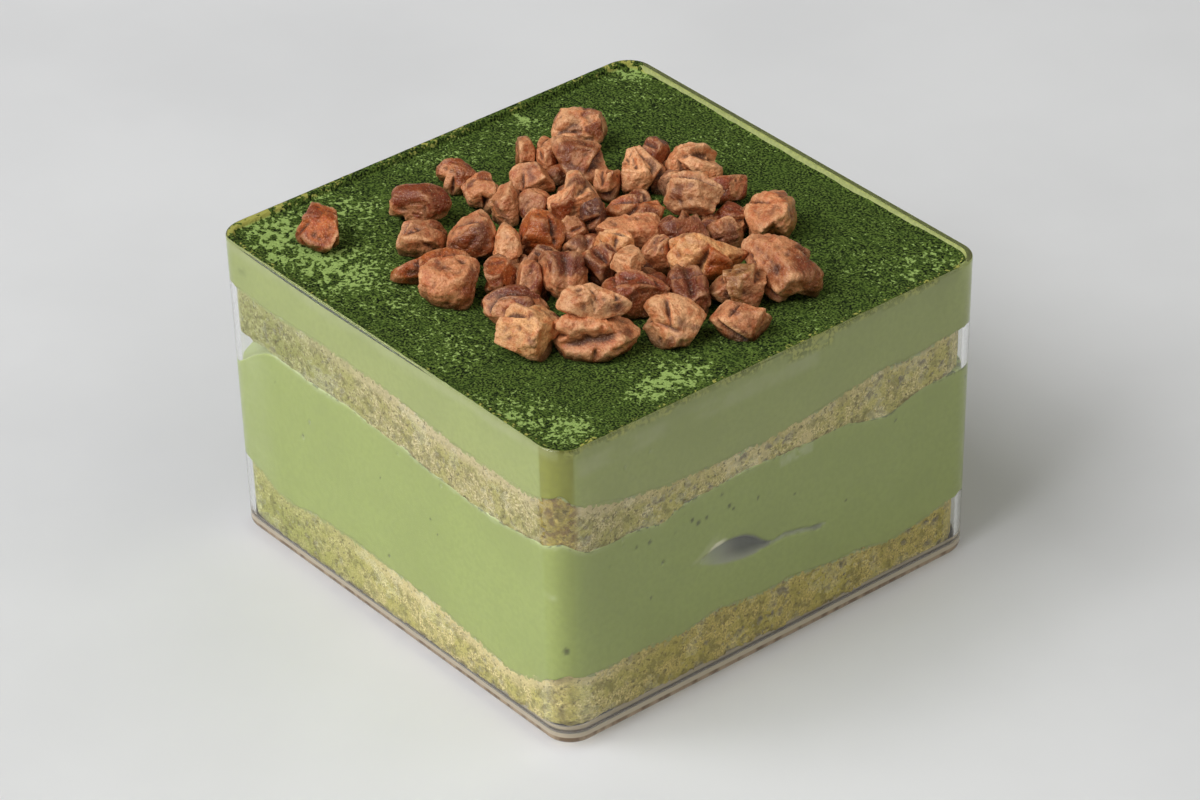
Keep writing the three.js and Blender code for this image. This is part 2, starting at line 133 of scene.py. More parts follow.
def cells(points, cell, seed):
    """Scattered cells, one spot in each block of the given size. For each point: the distance to
    the nearest spot, in blocks, and that spot's own number from 0 to 1."""
    place = points / cell
    low = np.floor(place)
    best = np.full(points.shape[:-1], 9.0)
    own = np.zeros(best.shape)
    for corner in np.ndindex(3, 3, 3):
        near = low + corner - 1
        spot = near + np.stack([hashed(near, seed + k) for k in range(3)], axis=-1)
        away = np.linalg.norm(place - spot, axis=-1)
        own = np.where(away < best, hashed(near, seed + 3), own)
        best = np.minimum(best, away)
    return best, own


def bubbles(points, cell, share, size, seed):
    """How deep in a small round bubble each point is, from 0 to 1. Only a share of the cells
    hold one, and size is its radius in cells."""
    away, own = cells(points, cell, seed)
    return ease(away, size, size * 0.4) * (own < share)


def ease(value, low, high):
    """0 below low, 1 above high and a smooth rise between them. low may be above high."""
    t = np.clip((value - low) / (high - low), 0, 1)
    return t * t * (3 - 2 * t)


def highest(*values):
    """The largest of several values at each point."""
    return np.maximum.reduce(values)


# ---- Meshes from arrays ----


def make_piece(name, points, triangles, material, nodes, values):
    """A mesh object of points in millimetres and triangles, with its values as attributes and its
    material, that rides on the body and stands for CAD nodes."""
    mesh = bpy.data.meshes.new(name)
    mesh.from_pydata(points.reshape(-1, 3) * MM, [], triangles)
    for key, value in values.items():
        kind, field = ("FLOAT_COLOR", "color") if value.ndim == 2 else ("FLOAT", "value")
        layer = mesh.attributes.new(key, kind, "POINT")
        layer.data.foreach_set(field, value.astype(np.float32).ravel())
    mesh.polygons.foreach_set("use_smooth", np.ones(len(mesh.polygons), bool))
    mesh.materials.append(material)
    mesh.update()
    piece = add_object(name, mesh)
    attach(piece, BODY)
    if nodes:
        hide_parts(*nodes)
    return piece


def split(a, b, c, d):
    """Two triangles for each four-sided face, its corners a and b in one row and c and d in the
    next."""
    return np.stack([np.stack([a, b, d], -1), np.stack([a, d, c], -1)], 2).reshape(-1, 3)


def loft_triangles(rows, columns):
    """Triangles of closed rings that run anticlockwise seen from the last one, each joined to the
    next, with both ends fanned to two more points after them."""
    ring = np.arange(columns)
    after = (ring + 1) % columns
    a = np.arange(rows - 1)[:, None] * columns + ring
    b = a - ring + after
    first, last = rows * columns, rows * columns + 1
    start = np.stack([np.full(columns, first), after, ring], -1)
    top = (rows - 1) * columns
    end = np.stack([np.full(columns, last), top + ring, top + after], -1)
    return np.concatenate([split(a, b, a + columns, b + columns), start, end])


def with_ends(rings):
    """The points or values of stacked rings, followed by the means of the first and last one."""
    ends = np.stack([rings[0].mean(0), rings[-1].mean(0)])
    return np.concatenate([rings.reshape(-1, *rings.shape[2:]), ends])


def ring_piece(name, rings, material, node, values):
    """Closes stacked rings at both ends and makes their piece, which stands for one node."""
    values = {key: with_ends(value) for key, value in values.items()}
    triangles = loft_triangles(*rings.shape[:2])
    return make_piece(name, with_ends(rings), triangles, material, [node], values)


# ---- Materials ----


class Finish:
    """A material laid up in coats. Each coat is mixed over the colour so far, and the last one
    goes to the shader. Colours are given as they look on a screen, in three numbers, or ready
    made, and a share is a number, a node's output or the name of an attribute of the piece."""

    def __init__(self, name, roughness, base=None, **sockets):
        self.material = bpy.data.materials.new(name)
        self.material.use_nodes = True
        self.tree = self.material.node_tree
        self.shader = self.tree.nodes["Principled BSDF"]
        self.shader.inputs["Roughness"].default_value = roughness
        for socket, value in sockets.items():
            self.shader.inputs[socket.replace("_", " ")].default_value = value
        self.place = self.tree.nodes.new("ShaderNodeTexCoord").outputs["Object"]
        self.base = base and rgb(*base)

    def put(self, value, socket):
        if isinstance(value, bpy.types.NodeSocket):
            self.tree.links.new(value, socket)
        else:
            socket.default_value = value

    def attribute(self, name, output="Fac"):
        node = self.tree.nodes.new("ShaderNodeAttribute")
        node.attribute_name = name
        return node.outputs[output]

    def noise(self, size, detail=4, stretch=None):
        """Noise whose lumps are about size millimetres, stretched where asked."""
        place = self.place
        if stretch:
            mapping = self.tree.nodes.new("ShaderNodeMapping")
            mapping.inputs["Scale"].default_value = stretch
            self.put(place, mapping.inputs["Vector"])
            place = mapping.outputs["Vector"]
        node = self.tree.nodes.new("ShaderNodeTexNoise")
        node.inputs["Scale"].default_value = 1 / (size * MM)
        node.inputs["Detail"].default_value = detail
        self.put(place, node.inputs["Vector"])
        return node.outputs["Fac"]

    def math(self, operation, a, b=0.0, c=0.0):
        node = self.tree.nodes.new("ShaderNodeMath")
        node.operation = operation
        for value, socket in zip((a, b, c), node.inputs):
            self.put(value, socket)
        return node.outputs[0]

    def between(self, value, low, high, first=0.0, last=1.0):
        """value eased from first at low to last at high."""
        node = self.tree.nodes.new("ShaderNodeMapRange")
        node.interpolation_type = "SMOOTHSTEP"
        for given, key in zip((value, low, high, first, last),
                              ("Value", "From Min", "From Max", "To Min", "To Max")):
            self.put(given, node.inputs[key])
        return node.outputs[0]

    def lumps(self, size, low, high, share=1.0, detail=4, stretch=None):
        """0 where the noise is under low, rising to share where it is over high."""
        return self.between(self.noise(size, detail, stretch), low, high, 0.0, share)

    def mix(self, share, a, b, blend="MIX"):
        """Colour a with colour b over it by a share."""
        node = self.tree.nodes.new("ShaderNodeMix")
        node.data_type = "RGBA"
        node.blend_type = blend
        share = self.attribute(share) if isinstance(share, str) else share
        a, b = (rgb(*c) if isinstance(c, tuple) and len(c) == 3 else c for c in (a, b))
        for value, key in zip((share, a, b), (0, 6, 7)):
            self.put(value, node.inputs[key])
        return node.outputs[2]

    def lay(self, colour, share, blend="MIX"):
        """Lays a coat of a colour over the colour so far."""
        self.base = self.mix(share, self.base, colour, blend)

    def spots(self, colour, *lumps, blend="MIX", **kind):
        """Lays a coat that covers only the lumps of a noise."""
        self.lay(colour, self.lumps(*lumps, **kind), blend)

    def done(self, relief=None, depth=0.0):
        """Gives the shader the colour so far, and relief of depth millimetres where asked."""
        self.put(self.base, self.shader.inputs["Base Color"])
        if relief is not None:
            node = self.tree.nodes.new("ShaderNodeBump")
            node.inputs["Distance"].default_value = depth * MM
            self.put(relief, node.inputs["Height"])
            self.put(node.outputs["Normal"], self.shader.inputs["Normal"])
        return self.material


def rgb(red, green, blue):
    """A colour given as it looks on a screen, 0 to 255, turned into light, with full alpha."""
    def light(v):
        v = v / 255
        return v / 12.92 if v <= 0.04045 else ((v + 0.055) / 1.055) ** 2.4
    return (light(red), light(green), light(blue), 1)


def shade(colour, strength):
    return tuple(v * strength for v in colour)


CLEAR = (0.985, 0.99, 0.98, 1)
SHADOW_TINT = (0.95, 0.955, 0.945, 1)


def clear_plastic():
    """Clear hard plastic with faint smears. Its foot is clouded and tan with upright streaks, a
    painted reflection of the sponge. Inside, a pale strip carries the same tan as a painted
    highlight, and a painted shadow runs as a dark line round the floor's edge. Light from the
    lamps goes straight through it."""
    finish = Finish("clear_plastic", 0.02, IOR=1.5)
    foot = finish.attribute("foot")
    brown = finish.mix(finish.lumps(2.2, 0.4, 0.62, stretch=(1, 1, 0.25)), (186, 164, 136), (132, 108, 84))
    tan = finish.mix(finish.between(foot, 0.6, 0.75), (216, 202, 178), brown)
    finish.base = CLEAR
    # Painted light: the tan foot is a painted reflection of the sponge outside and a painted highlight in
    # the strip inside, and the dark line is a painted shadow. Where these lie, the plastic lets less light
    # through.
    finish.lay(tan, finish.between(foot, 0.0, 0.3))
    finish.lay((66, 48, 16), "shadow_line")
    clouded = finish.math("MAXIMUM", finish.between(foot, 0.02, 0.35, 0.0, 0.72), finish.attribute("shadow_line"))
    finish.put(finish.math("SUBTRACT", 1.0, clouded), finish.shader.inputs["Transmission Weight"])
    smears = finish.between(finish.noise(9, stretch=(1, 1, 0.5)), 0.45, 0.75, 0.01, 0.07)
    finish.put(smears, finish.shader.inputs["Roughness"])
    through = finish.tree.nodes.new("ShaderNodeBsdfTransparent")
    through.inputs["Color"].default_value = SHADOW_TINT
    ray = finish.tree.nodes.new("ShaderNodeLightPath")
    either = finish.tree.nodes.new("ShaderNodeMixShader")
    shaders = (ray.outputs["Is Shadow Ray"], finish.shader.outputs[0], through.outputs[0])
    for value, socket in zip(shaders, either.inputs):
        finish.put(value, socket)
    finish.put(either.outputs[0], finish.tree.nodes["Material Output"].inputs["Surface"])
    return finish.done()


def cream_finish(name, body, pale):
    """Smooth cream: clouded and finely mottled, painted darker down the front corner as shade, pale
    where it is moist, yellow where powder stains it, dark with painted shade in its specks, pits
    and crevices, and dark in a smudge. The air pocket has a grey painted reflection, painted
    shade in its depth and a painted highlight on its edge."""
    finish = Finish(name, 0.5, body)
    finish.spots(shade(body, 0.965), 14, 0.35, 0.7)
    finish.spots(shade(body, 0.93), 0.9, 0.36, 0.66, 0.5, 5)
    # Painted shade: darker and more saturated down the front corner, as seen through the box's rounded
    # corner.
    finish.lay((222, 214, 148), "corner", "MULTIPLY")
    mist = finish.between(finish.noise(2), 0.2, 0.7, 0.6, 1)
    finish.lay(pale, finish.math("MULTIPLY", finish.attribute("pale"), mist))
    finish.lay(finish.mix(finish.lumps(0.6, 0.42, 0.6), (126, 134, 52), (196, 198, 104)), "stain")
    finish.lay((74, 78, 44), "dark")
    # The air pocket's painted light: a grey painted reflection, painted shade in its depth and a painted
    # highlight on its edge.
    finish.lay((146, 148, 128), "film")
    finish.lay((74, 76, 64), "hollow")
    finish.lay((255, 250, 226), "bright")
    return finish.done(finish.noise(1.2, 3), 0.008)


DRY_GAIN = (1.17, 1.16, 1.02, 1)
CREAM_EDGE = (1.75, 1.5)


def sponge_finish():
    """Porous crumb: sandy grains, lighter crumbs, yellow-green patches, darker clumps, small dark
    spots of painted shade for holes, painted shade in its pores and along its underside, and
    cream in its upper edge. It is greener where it is moist, and in the front corner it is
    painted darker and golden as shade, with brown blotches."""
    finish = Finish("sponge", 0.9, (164, 150, 96))
    finish.spots((230, 218, 171), 0.32, 0.37, 0.63, 1.0, 3)
    finish.spots((186, 176, 110), 0.9, 0.42, 0.64, 0.7)
    finish.spots((178, 172, 90), 4, 0.44, 0.6, 0.6)
    finish.spots((122, 116, 56), 1.6, 0.5, 0.64, 0.6)
    finish.lay((214, 198, 158), "soft")
    # Small dark spots: painted shade standing in for holes.
    finish.spots((104, 94, 46), 0.62, 0.57, 0.67, 0.75)
    finish.lay((222, 234, 212), "moist", "MULTIPLY")
    finish.lay(DRY_GAIN, "dry", "MULTIPLY")
    finish.lay((240, 231, 178), "golden", "MULTIPLY")
    # Painted shade: the front corner darker and more golden, with brown blotches in it.
    finish.lay((222, 208, 138), "corner", "MULTIPLY")
    blotch = finish.lumps(1.5, 0.47, 0.6, 0.75)
    finish.lay((118, 88, 36), finish.math("MULTIPLY", finish.attribute("corner"), blotch))
    # Painted shade in the pores and along the underside.
    finish.lay((100, 84, 28), "pore")
    ragged_edge = finish.math("MULTIPLY_ADD", finish.noise(0.8), 2.6, finish.attribute("top_gap"))
    finish.lay((168, 175, 114), finish.between(ragged_edge, *CREAM_EDGE))
    return finish.done(finish.noise(0.35), 0.16)


def powder_finish():
    """Dry green powder, grainy, specked and clotted. Where it is thin the cream shows as a
    ragged net: the bare lines follow the half height of one noise and widen as the powder
    thins. The cream is yellower on the rim."""
    finish = Finish("powder", 1.0, (8, 18, 4), Specular_IOR_Level=0.15)
    finish.spots((101, 124, 54), 0.36, 0.38, 0.64, 1.0, 3)
    finish.spots((24, 40, 14), 0.9, 0.5, 0.66, 0.6)
    finish.spots((76, 102, 38), 3.2, 0.4, 0.66, 0.24)
    ridge = finish.math("ABSOLUTE", finish.math("SUBTRACT", finish.noise(2.5, 3), 0.5))
    level = finish.math("MULTIPLY_ADD", finish.attribute("thin"), 0.3, finish.math("MULTIPLY", ridge, -1.9))
    fleck = finish.math("SUBTRACT", finish.noise(0.6, 5), 0.5)
    level = finish.math("MULTIPLY_ADD", fleck, 0.9, level)
    finish.lay((98, 122, 56), finish.between(level, 0.0, 0.14, 0.0, 0.25))
    finish.lay(finish.mix("rim", (155, 181, 102), (172, 170, 88)), finish.between(level, 0.09, 0.17))
    return finish.done(finish.noise(0.36, 3), 0.3)


def nut_finish():
    """Broken nut: its own tint, which carries painted shade in its creases and near the powder
    and a painted highlight on its sharp edges, mottled and grained, with bright specks and faint
    stripes. Skin is glossier."""
    finish = Finish("nut", 0.5)
    finish.base = finish.attribute("tint", "Color")
    finish.spots((216, 158, 114), 1.5, 0.44, 0.66, 0.65, blend="MULTIPLY")
    finish.spots((196, 134, 96), 0.3, 0.48, 0.68, 0.55, blend="MULTIPLY")
    finish.spots((236, 190, 146), 0.22, 0.58, 0.72, 0.5, 2)
    finish.spots((160, 100, 64), 0.8, 0.54, 0.68, 0.2, stretch=(0.35, 0.35, 1.6))
    gloss = finish.between(finish.attribute("skin"), 0, 1, 0.42, 0.28)
    finish.put(gloss, finish.shader.inputs["Roughness"])
    return finish.done(finish.noise(0.45, 5), 0.3)


# ---- The box's form ----

BOX_LOW, BOX_HIGH = size_of("clear_box")
RIM_SIDE = BOX_HIGH[0] - BOX_LOW[0]
HEIGHT = BOX_HIGH[2]
BASE_SIDE = 83.6
WALL = 1.0
OUTER_RADIUS = 4.6
INNER_RADIUS = OUTER_RADIUS - WALL
FLOOR_TOP = 2.4
FLOOR_UNDER = 0.8
UNDER_ROUNDING = 1.2
KNEE = 0.8
FOOT_SIDE = 79.2
FOOT_WIDTH = 1.4
FOOT_RADIUS = 3.2
RIM_ROUNDING = 0.28
FOOT_ROUNDING = 0.2
# The foot's painted reflection of the sponge outside, as heights and strengths. Inside, the
# heights between which the painted shadow line at the floor's edge rises and fades, and the
# pale strip over it, a painted highlight: its rows, its tint, where it starts, and where it
# fades, counted from the lower sponge's underside.
FOOT_REFLECTION = ((0.5, 2.0, 2.4, 2.85, 3.1, 4.2), (1.0, 0.9, 0.5, 0.4, 0.16, 0.0))
FLOOR_SHADOW_LINE = (2.36, 2.41, 3.3, 3.18)
STRIP_HEIGHTS = (5.0, 4.6, 4.3, 4.0, 3.7)
STRIP_HIGHLIGHT = 0.33
STRIP_START = (3.18, 3.3)
STRIP_END = (0.5, 0.15)
FLOOR_RADIUS = 5.4
WALL_LEVELS = (20, 38)
FLAT_INSET = 8
RING_GUARD = 0.004


def outer_side(z):
    return BASE_SIDE + (RIM_SIDE - BASE_SIDE) * z / HEIGHT


def inner_side(z):
    return outer_side(z) - 2 * WALL


def square_shares(corner_steps, side_shares):
    """For the columns of a rounded square: which quarter each is in, how far round its corner's
    arc it is and how far along the straight after it, both from 0 to 1."""
    arc = np.concatenate([np.linspace(0, 1, corner_steps + 1)[:-1], np.ones(len(side_shares) - 1)])
    along = np.concatenate([np.zeros(corner_steps), side_shares[:-1]])
    quarter = np.repeat(np.arange(4), len(arc))
    return quarter, np.tile(arc, 4), np.tile(along, 4)


def square_ring(shares, side, radius, after=None):
    """Points and outward directions of a rounded square. Each quarter is an arc and a straight,
    turned by its number of right angles. side and radius are numbers, or arrays that match the
    columns or have one entry a row, and after is the next corner's radius if it differs."""
    quarter, arc, along = shares
    straight = side / 2 - radius
    far = straight if after is None else side / 2 - after
    angle = math.pi + arc * math.pi / 2
    x = -straight + radius * np.cos(angle) + along * (straight + far)
    y = -straight + radius * np.sin(angle)
    turn = quarter * math.pi / 2
    cos, sin = np.cos(turn), np.sin(turn)
    points = np.stack([x * cos - y * sin, x * sin + y * cos], -1)
    out = np.stack([np.cos(angle + turn), np.sin(angle + turn)], -1)
    return points, np.broadcast_to(out, points.shape)


def make_box(material):
    """The box's wall as rounded squares whose half side, corner radius and height follow the
    wall's section: under the floor, round the foot, up the outside, over the rim and down the
    inside to the floor. Rings stand close beside each rounding, so that the flats stay flat.
    Inside, a pale strip under the lower sponge is tinted as a painted highlight, and the floor's
    edge has a painted shadow line. Outside, the foot carries a painted reflection of the sponge."""
    shares = square_shares(12, np.array([0, RING_GUARD, 0.25, 0.5, 0.75, 1 - RING_GUARD, 1]))
    foot_out, foot_in = FOOT_SIDE / 2, FOOT_SIDE / 2 - FOOT_WIDTH
    section = [(foot_in - FLAT_INSET, FLOOR_UNDER, 2.0), (foot_in - 0.3, FLOOR_UNDER, 1.8)]

    def quarter(half, z, radius, start, end, size, steps=5):
        for angle in np.radians(np.linspace(start, end, steps)):
            away = size * math.cos(angle)
            section.append((half + away, z + size * math.sin(angle), radius + away))

    r = FOOT_ROUNDING
    quarter(foot_in - r, FLOOR_UNDER - r, FOOT_RADIUS - FOOT_WIDTH - r, 90, 0, r)
    quarter(foot_in + r, r, FOOT_RADIUS - FOOT_WIDTH + r, 180, 270, r)
    quarter(foot_out - r, r, FOOT_RADIUS - r, 270, 360, r)
    quarter(foot_out + r, FLOOR_UNDER - r, FOOT_RADIUS + r, 180, 90, r)
    r = UNDER_ROUNDING
    z = FLOOR_UNDER + r
    half = outer_side(z) / 2
    section.append((half - r - 0.1, FLOOR_UNDER, OUTER_RADIUS - 1.2))
    quarter(half - r, z, OUTER_RADIUS - r, 270, 360, r, 10)
    for z in (*FOOT_REFLECTION[0][2:], *WALL_LEVELS, HEIGHT - RIM_ROUNDING - 0.6):
        section.append((outer_side(z) / 2, z, OUTER_RADIUS))
    r = RIM_ROUNDING
    z = HEIGHT - r
    quarter(outer_side(z) / 2 - r, z, OUTER_RADIUS - r, 0, 90, r, 6)
    outer_rows = len(section)
    quarter(inner_side(z) / 2 + r, z, INNER_RADIUS + r, 90, 180, r, 6)
    for z in (HEIGHT - r - 0.6, *WALL_LEVELS[::-1], 10, *STRIP_HEIGHTS, FLOOR_TOP + 1):
        section.append((inner_side(z) / 2, z, INNER_RADIUS))
    z = FLOOR_TOP + KNEE
    half = inner_side(z) / 2
    for angle in np.radians(np.linspace(0, 90, 8)):
        inset = KNEE * (1 - math.cos(angle))
        radius = INNER_RADIUS + (FLOOR_RADIUS - INNER_RADIUS) * math.sin(angle) - inset
        section.append((half - inset, z - KNEE * math.sin(angle), radius))
    section.append((half - KNEE - 0.5, FLOOR_TOP, FLOOR_RADIUS - KNEE))
    section.append((half - FLAT_INSET, FLOOR_TOP, 2.0))
    half, z, radius = np.array(section).T[..., None]
    ring, _ = square_ring(shares, 2 * half, np.maximum(radius, 0.4))
    rings = np.dstack([ring, np.broadcast_to(z, ring.shape[:2])])
    z, inside = rings[..., 2], np.arange(len(rings))[:, None] >= outer_rows
    # Painted shadow line at the floor's edge, painted highlight in the strip inside, and painted reflection
    # of the sponge on the foot outside.
    shadow_line = ease(z, *FLOOR_SHADOW_LINE[:2]) * ease(z, *FLOOR_SHADOW_LINE[2:]) * inside
    under = height_round("lower_sponge_under", turns_of(rings))
    strip = ease(z, *STRIP_START) * ease(z, under + STRIP_END[0], under + STRIP_END[1])
    foot = np.where(inside, STRIP_HIGHLIGHT * strip, np.interp(z, *FOOT_REFLECTION))
    values = {"foot": foot, "shadow_line": shadow_line}
    return ring_piece("box_shell", rings, material, "clear_box", values)


# ---- The layers' boundaries ----

# Heights at the wall, as (place along the side, height). The front runs with X, the right
# with Y, and the back and left run against them. A side ends at the next one's first height.
HALF = 42.0
BOUNDARIES = {
    "powder_top": [
        [(-42, 54.4), (-30, 53.9), (-18, 53.7), (0, 53.9), (20, 54.3)],
        [(-42, 54.5), (-20, 54.3), (0, 54.2), (20, 54.3)],
        [(-42, 54.2), (-20, 54.0), (0, 53.9), (20, 54.0)],
        [(-42, 54.0), (-20, 53.9), (0, 54.0), (20, 54.1)],
    ],
    "upper_sponge_top": [
        [(-42, 46.9), (-28, 46.2), (-19, 46.8), (-4, 46.5), (4, 46.3), (12, 45.1), (19, 44.6),
         (35, 44.8), (38, 45.4)],
        [(-42, 46.9), (-40, 45.0), (-34, 43.0), (-30, 42.0), (-23, 41.0), (-12, 40.3), (-2, 40.3),
         (10, 41.2), (18, 42.5), (23, 43.0), (27, 42.2), (35, 43.2)],
        [(-42, 43.4), (-33, 44.8), (-21, 44.5), (-9, 45.9), (0, 45.2), (12, 44.0), (21, 44.6),
         (33, 45.9)],
        [(-42, 46.2), (-32, 44.8), (-21, 45.4), (-8, 46.3), (0, 46.0), (13, 45.2), (21, 46.6),
         (33, 45.7)],
    ],
    "upper_sponge_under": [
        [(-42, 38.6), (-34, 38.2), (-19, 37.4), (-12, 37.6), (4, 36.9), (12, 36.1), (19, 35.6),
         (27, 35.5), (38, 36.6)],
        [(-42, 37.8), (-39, 36.2), (-37, 35.1), (-27, 34.7), (-23, 33.7), (-19, 35.4), (-4, 36.1),
         (5, 35.6), (15, 35.6), (19, 34.3), (23, 33.2), (27, 34.7), (31, 35.4)],
        [(-42, 35.4), (-31, 35.0), (-21, 36.2), (-9, 37.4), (0, 36.8), (11, 35.9), (21, 35.6),
         (32, 37.0)],
        [(-42, 37.4), (-30, 35.9), (-21, 36.6), (-10, 36.9), (0, 35.8), (12, 36.1), (21, 37.0),
         (33, 36.6)],
    ],
    "lower_sponge_top": [
        [(-42, 14.6), (-37, 13.5), (-34, 12.8), (-32, 11.2), (-27, 11.0), (-23, 12.0), (-12, 12.4),
         (4, 12.0), (12, 11.3), (19, 10.4), (27, 9.2), (31, 9.2), (35, 10.4), (39, 12.4)],
        [(-42, 13.9), (-39, 12.8), (-27, 12.8), (-19, 12.0), (-12, 13.2), (-2, 12.0), (4, 12.4),
         (12, 11.2), (18, 10.8), (25, 9.6), (31, 10.4), (37, 11.6)],
        [(-42, 11.7), (-30, 12.9), (-21, 12.4), (-11, 10.6), (0, 11.0), (10, 12.6), (21, 12.2),
         (33, 10.8)],
        [(-42, 12.8), (-31, 11.2), (-21, 11.8), (-9, 13.1), (0, 12.6), (11, 11.0), (21, 11.2),
         (32, 12.9)],
    ],
    "lower_sponge_under": [
        [(-42, 3.0), (0, 3.0), (24, 3.1)],
        [(-42, 3.7), (-34, 4.1), (-24, 3.9), (0, 3.5)],
        [(-42, 3.4), (0, 3.8)],
        [(-42, 3.5), (0, 3.9)],
    ],
}
TRACE_STEPS = 2048
TRACE_BLUR = 5
TRACE_RIPPLE = 0.13
POWDER_RIPPLE = 0.05
TRACE_TURNS = np.arange(TRACE_STEPS) * 4 / TRACE_STEPS
WALL_CIRCLE = 53


def turns_round(x, y):
    """How far round the square a point lies, from 0 to 4, one for each side from the front."""
    reach = np.maximum(np.maximum(np.abs(x), np.abs(y)), 1e-9)
    u, v = x / reach, y / reach
    edge = 1 - 1e-12
    return np.select(
        [(v <= -edge) & (u < 1), (u >= edge) & (v < 1), (v >= edge) & (u > -1)],
        [(u + 1) / 2, 1 + (v + 1) / 2, 2 + (1 - u) / 2],
        3 + (1 - v) / 2,
    ) % 4


def turns_of(points):
    return turns_round(points[..., 0], points[..., 1])


def wall_circle(turns):
    """Points on a circle about as long as the wall, so that a noise on them closes."""
    angle = turns * math.pi / 2
    return np.stack([np.cos(angle), np.sin(angle), 0 * angle], -1) * WALL_CIRCLE


def trace(name, ripple):
    """A boundary's height as a table round the wall: straight between its stations, smoothed,
    and then rippled by a little noise."""
    stations = []
    for side, row in enumerate(BOUNDARIES[name]):
        stations += [(side + (place / HALF + 1) / 2, height) for place, height in row]
    turns, heights = np.array(stations).T
    line = np.interp(TRACE_TURNS, turns, heights, period=4)
    reach = np.arange(-4 * TRACE_BLUR, 4 * TRACE_BLUR + 1)
    weight = np.exp(-0.5 * (reach / TRACE_BLUR) ** 2)
    line = sum(w * np.roll(line, k) for k, w in zip(reach, weight / weight.sum()))
    return line + ripple * fractal(wall_circle(TRACE_TURNS), 4.0, 4, sum(map(ord, name)))


TRACES = {name: trace(name, TRACE_RIPPLE) for name in BOUNDARIES}
TRACES["powder_top"] = trace("powder_top", POWDER_RIPPLE)


def height_round(name, turns):
    """A boundary's height at the wall, read from its table."""
    return np.interp(turns, TRACE_TURNS, TRACES[name], period=4)


# ---- Sides of the layers ----

WALL_REACH = 0.12
CORNER_DIP = 7.4
CORNER_DIP_REACH = 7.5
# Each sponge's corner radii, from the front left one round.
SPONGE_RADII = {"lower": (5.0, 5.4, 6.0, 5.4), "upper": (4.9, 4.4, 6.4, 5.6)}
EDGE_STEPS = 6
LEAST_RADIUS = 0.6
FACE_RINGS = (0.95, 0.75, 0.4)
# Where the front corner's column starts from the start of its arc, along X and along Y.
COLUMN_STARTS = (-0.2, 1.2)
# How strong the front corner's painted shade, darker and golden, and its blotches are, how
# dry and how golden the right side is, and how dry the other sides are.
SPONGE_TONES = {"lower": (0.35, 1.0, 0.85, 1.0), "upper": (1.0, 1.0, 0.0, 0.0)}


def side_rows(lower, upper, edge_low, edge_high, count):
    """Heights and insets of a layer's side for each column: a quarter round at both edges and
    even rows between them."""
    angle = np.linspace(0, math.pi / 2, EDGE_STEPS)
    up = np.linspace(0, 1, count + 2)[1:-1, None]
    low_rows = lower + edge_low * (1 - np.cos(angle))[:, None]
    low_inset = edge_low * (1 - np.sin(angle))
    high_rows = upper - edge_high * (1 - np.sin(angle))[:, None]
    high_inset = edge_high * (1 - np.cos(angle))
    straight = (lower + edge_low) * (1 - up) + (upper - edge_high) * up
    z = np.concatenate([low_rows, straight, high_rows])
    inset = np.concatenate([low_inset, np.zeros(count), high_inset])
    return z, np.repeat(inset[:, None], z.shape[1], 1)


def layer_ring(shares, side, radius, inset=0.0):
    """A layer's ring, moved in by its inset. radius is one number, or one for each corner."""
    corners = np.broadcast_to(radius, 4)
    here, after = corners[shares[0]], corners[(shares[0] + 1) % 4]
    radii = [np.maximum(corner - inset, LEAST_RADIUS) for corner in (here, after)]
    return square_ring(shares, side, *radii)


def layer_columns(corner_steps, side_steps, z, radius):
    """A layer's columns: their shares of a rounded square, and their points and turns at z."""
    shares = square_shares(corner_steps, np.linspace(0, 1, side_steps + 1))
    ring, _ = layer_ring(shares, inner_side(z), radius)
    return shares, ring, turns_of(ring)


def layer_points(shares, z, inset, radius, recess):
    """Points of a layer's side and both faces. The side stands a little into the box's inner
    wall, moved in by its inset and by recess, a function of its points. Each face runs in by
    flattening rings."""
    side = inner_side(z) + 2 * (WALL_REACH - inset)
    ring, out = layer_ring(shares, side, radius, inset)
    points = np.dstack([ring, z])
    points[..., :2] -= out * recess(points)[..., None]

    def face(row):
        shrink = np.array(FACE_RINGS)[:, None, None]
        rings = np.repeat(points[row][None], len(FACE_RINGS), 0)
        middle = points[row][:, 2].mean()
        rings[..., :2] *= shrink
        rings[..., 2] = middle + (rings[..., 2] - middle) * shrink[..., 0] ** 2
        return rings

    return np.concatenate([face(0)[::-1], points, face(-1)])


def ragged(turns, cell, seed):
    """Noise from -1 to 1 along the wall, with features of about cell millimetres."""
    return fractal(wall_circle(turns), cell, 3, seed)


def front_column(points, soft=0.4):
    """1 on the round of the corner between the front and the right side, and 0 elsewhere."""
    start = inner_side(HEIGHT) / 2 - INNER_RADIUS
    left, right = (start + more for more in COLUMN_STARTS)
    return ease(points[..., 0], left - soft, left) * ease(-points[..., 1], right - soft, right)


def corner_dip(x, y):
    """How far the thick cream falls away near the front left corner."""
    corner = inner_side(HEIGHT) / 2
    away = np.hypot(x + corner, y + corner)
    return CORNER_DIP * np.exp(-((away / CORNER_DIP_REACH) ** 2))


# The air pocket against the right wall and its thin tail, as (Y, lower height, upper height),
# and the steps and the width over which those heights are smoothed.
POCKET = [(-17.2, 23.6, 23.8), (-14.6, 22.6, 24.1), (-12, 21.6, 25.0), (-10, 20.9, 25.2),
          (-8, 20.5, 25.1), (-6, 20.1, 24.7), (-4, 20.0, 23.5), (-2.4, 20.3, 21.9),
          (-0.6, 20.45, 20.7)]
POCKET_TAIL = [(-2.6, 20.6, 21.6), (-0.4, 20.2, 20.8), (2.4, 20.4, 21.2), (5.3, 19.7, 20.5),
               (7.4, 19.1, 19.8), (9, 18.7, 19.6), (10.6, 19.0, 19.2)]
POCKET_DEPTH = 1.7
TAIL_DEPTH = 0.4
POCKET_STEPS = 200
POCKET_BLUR = 25


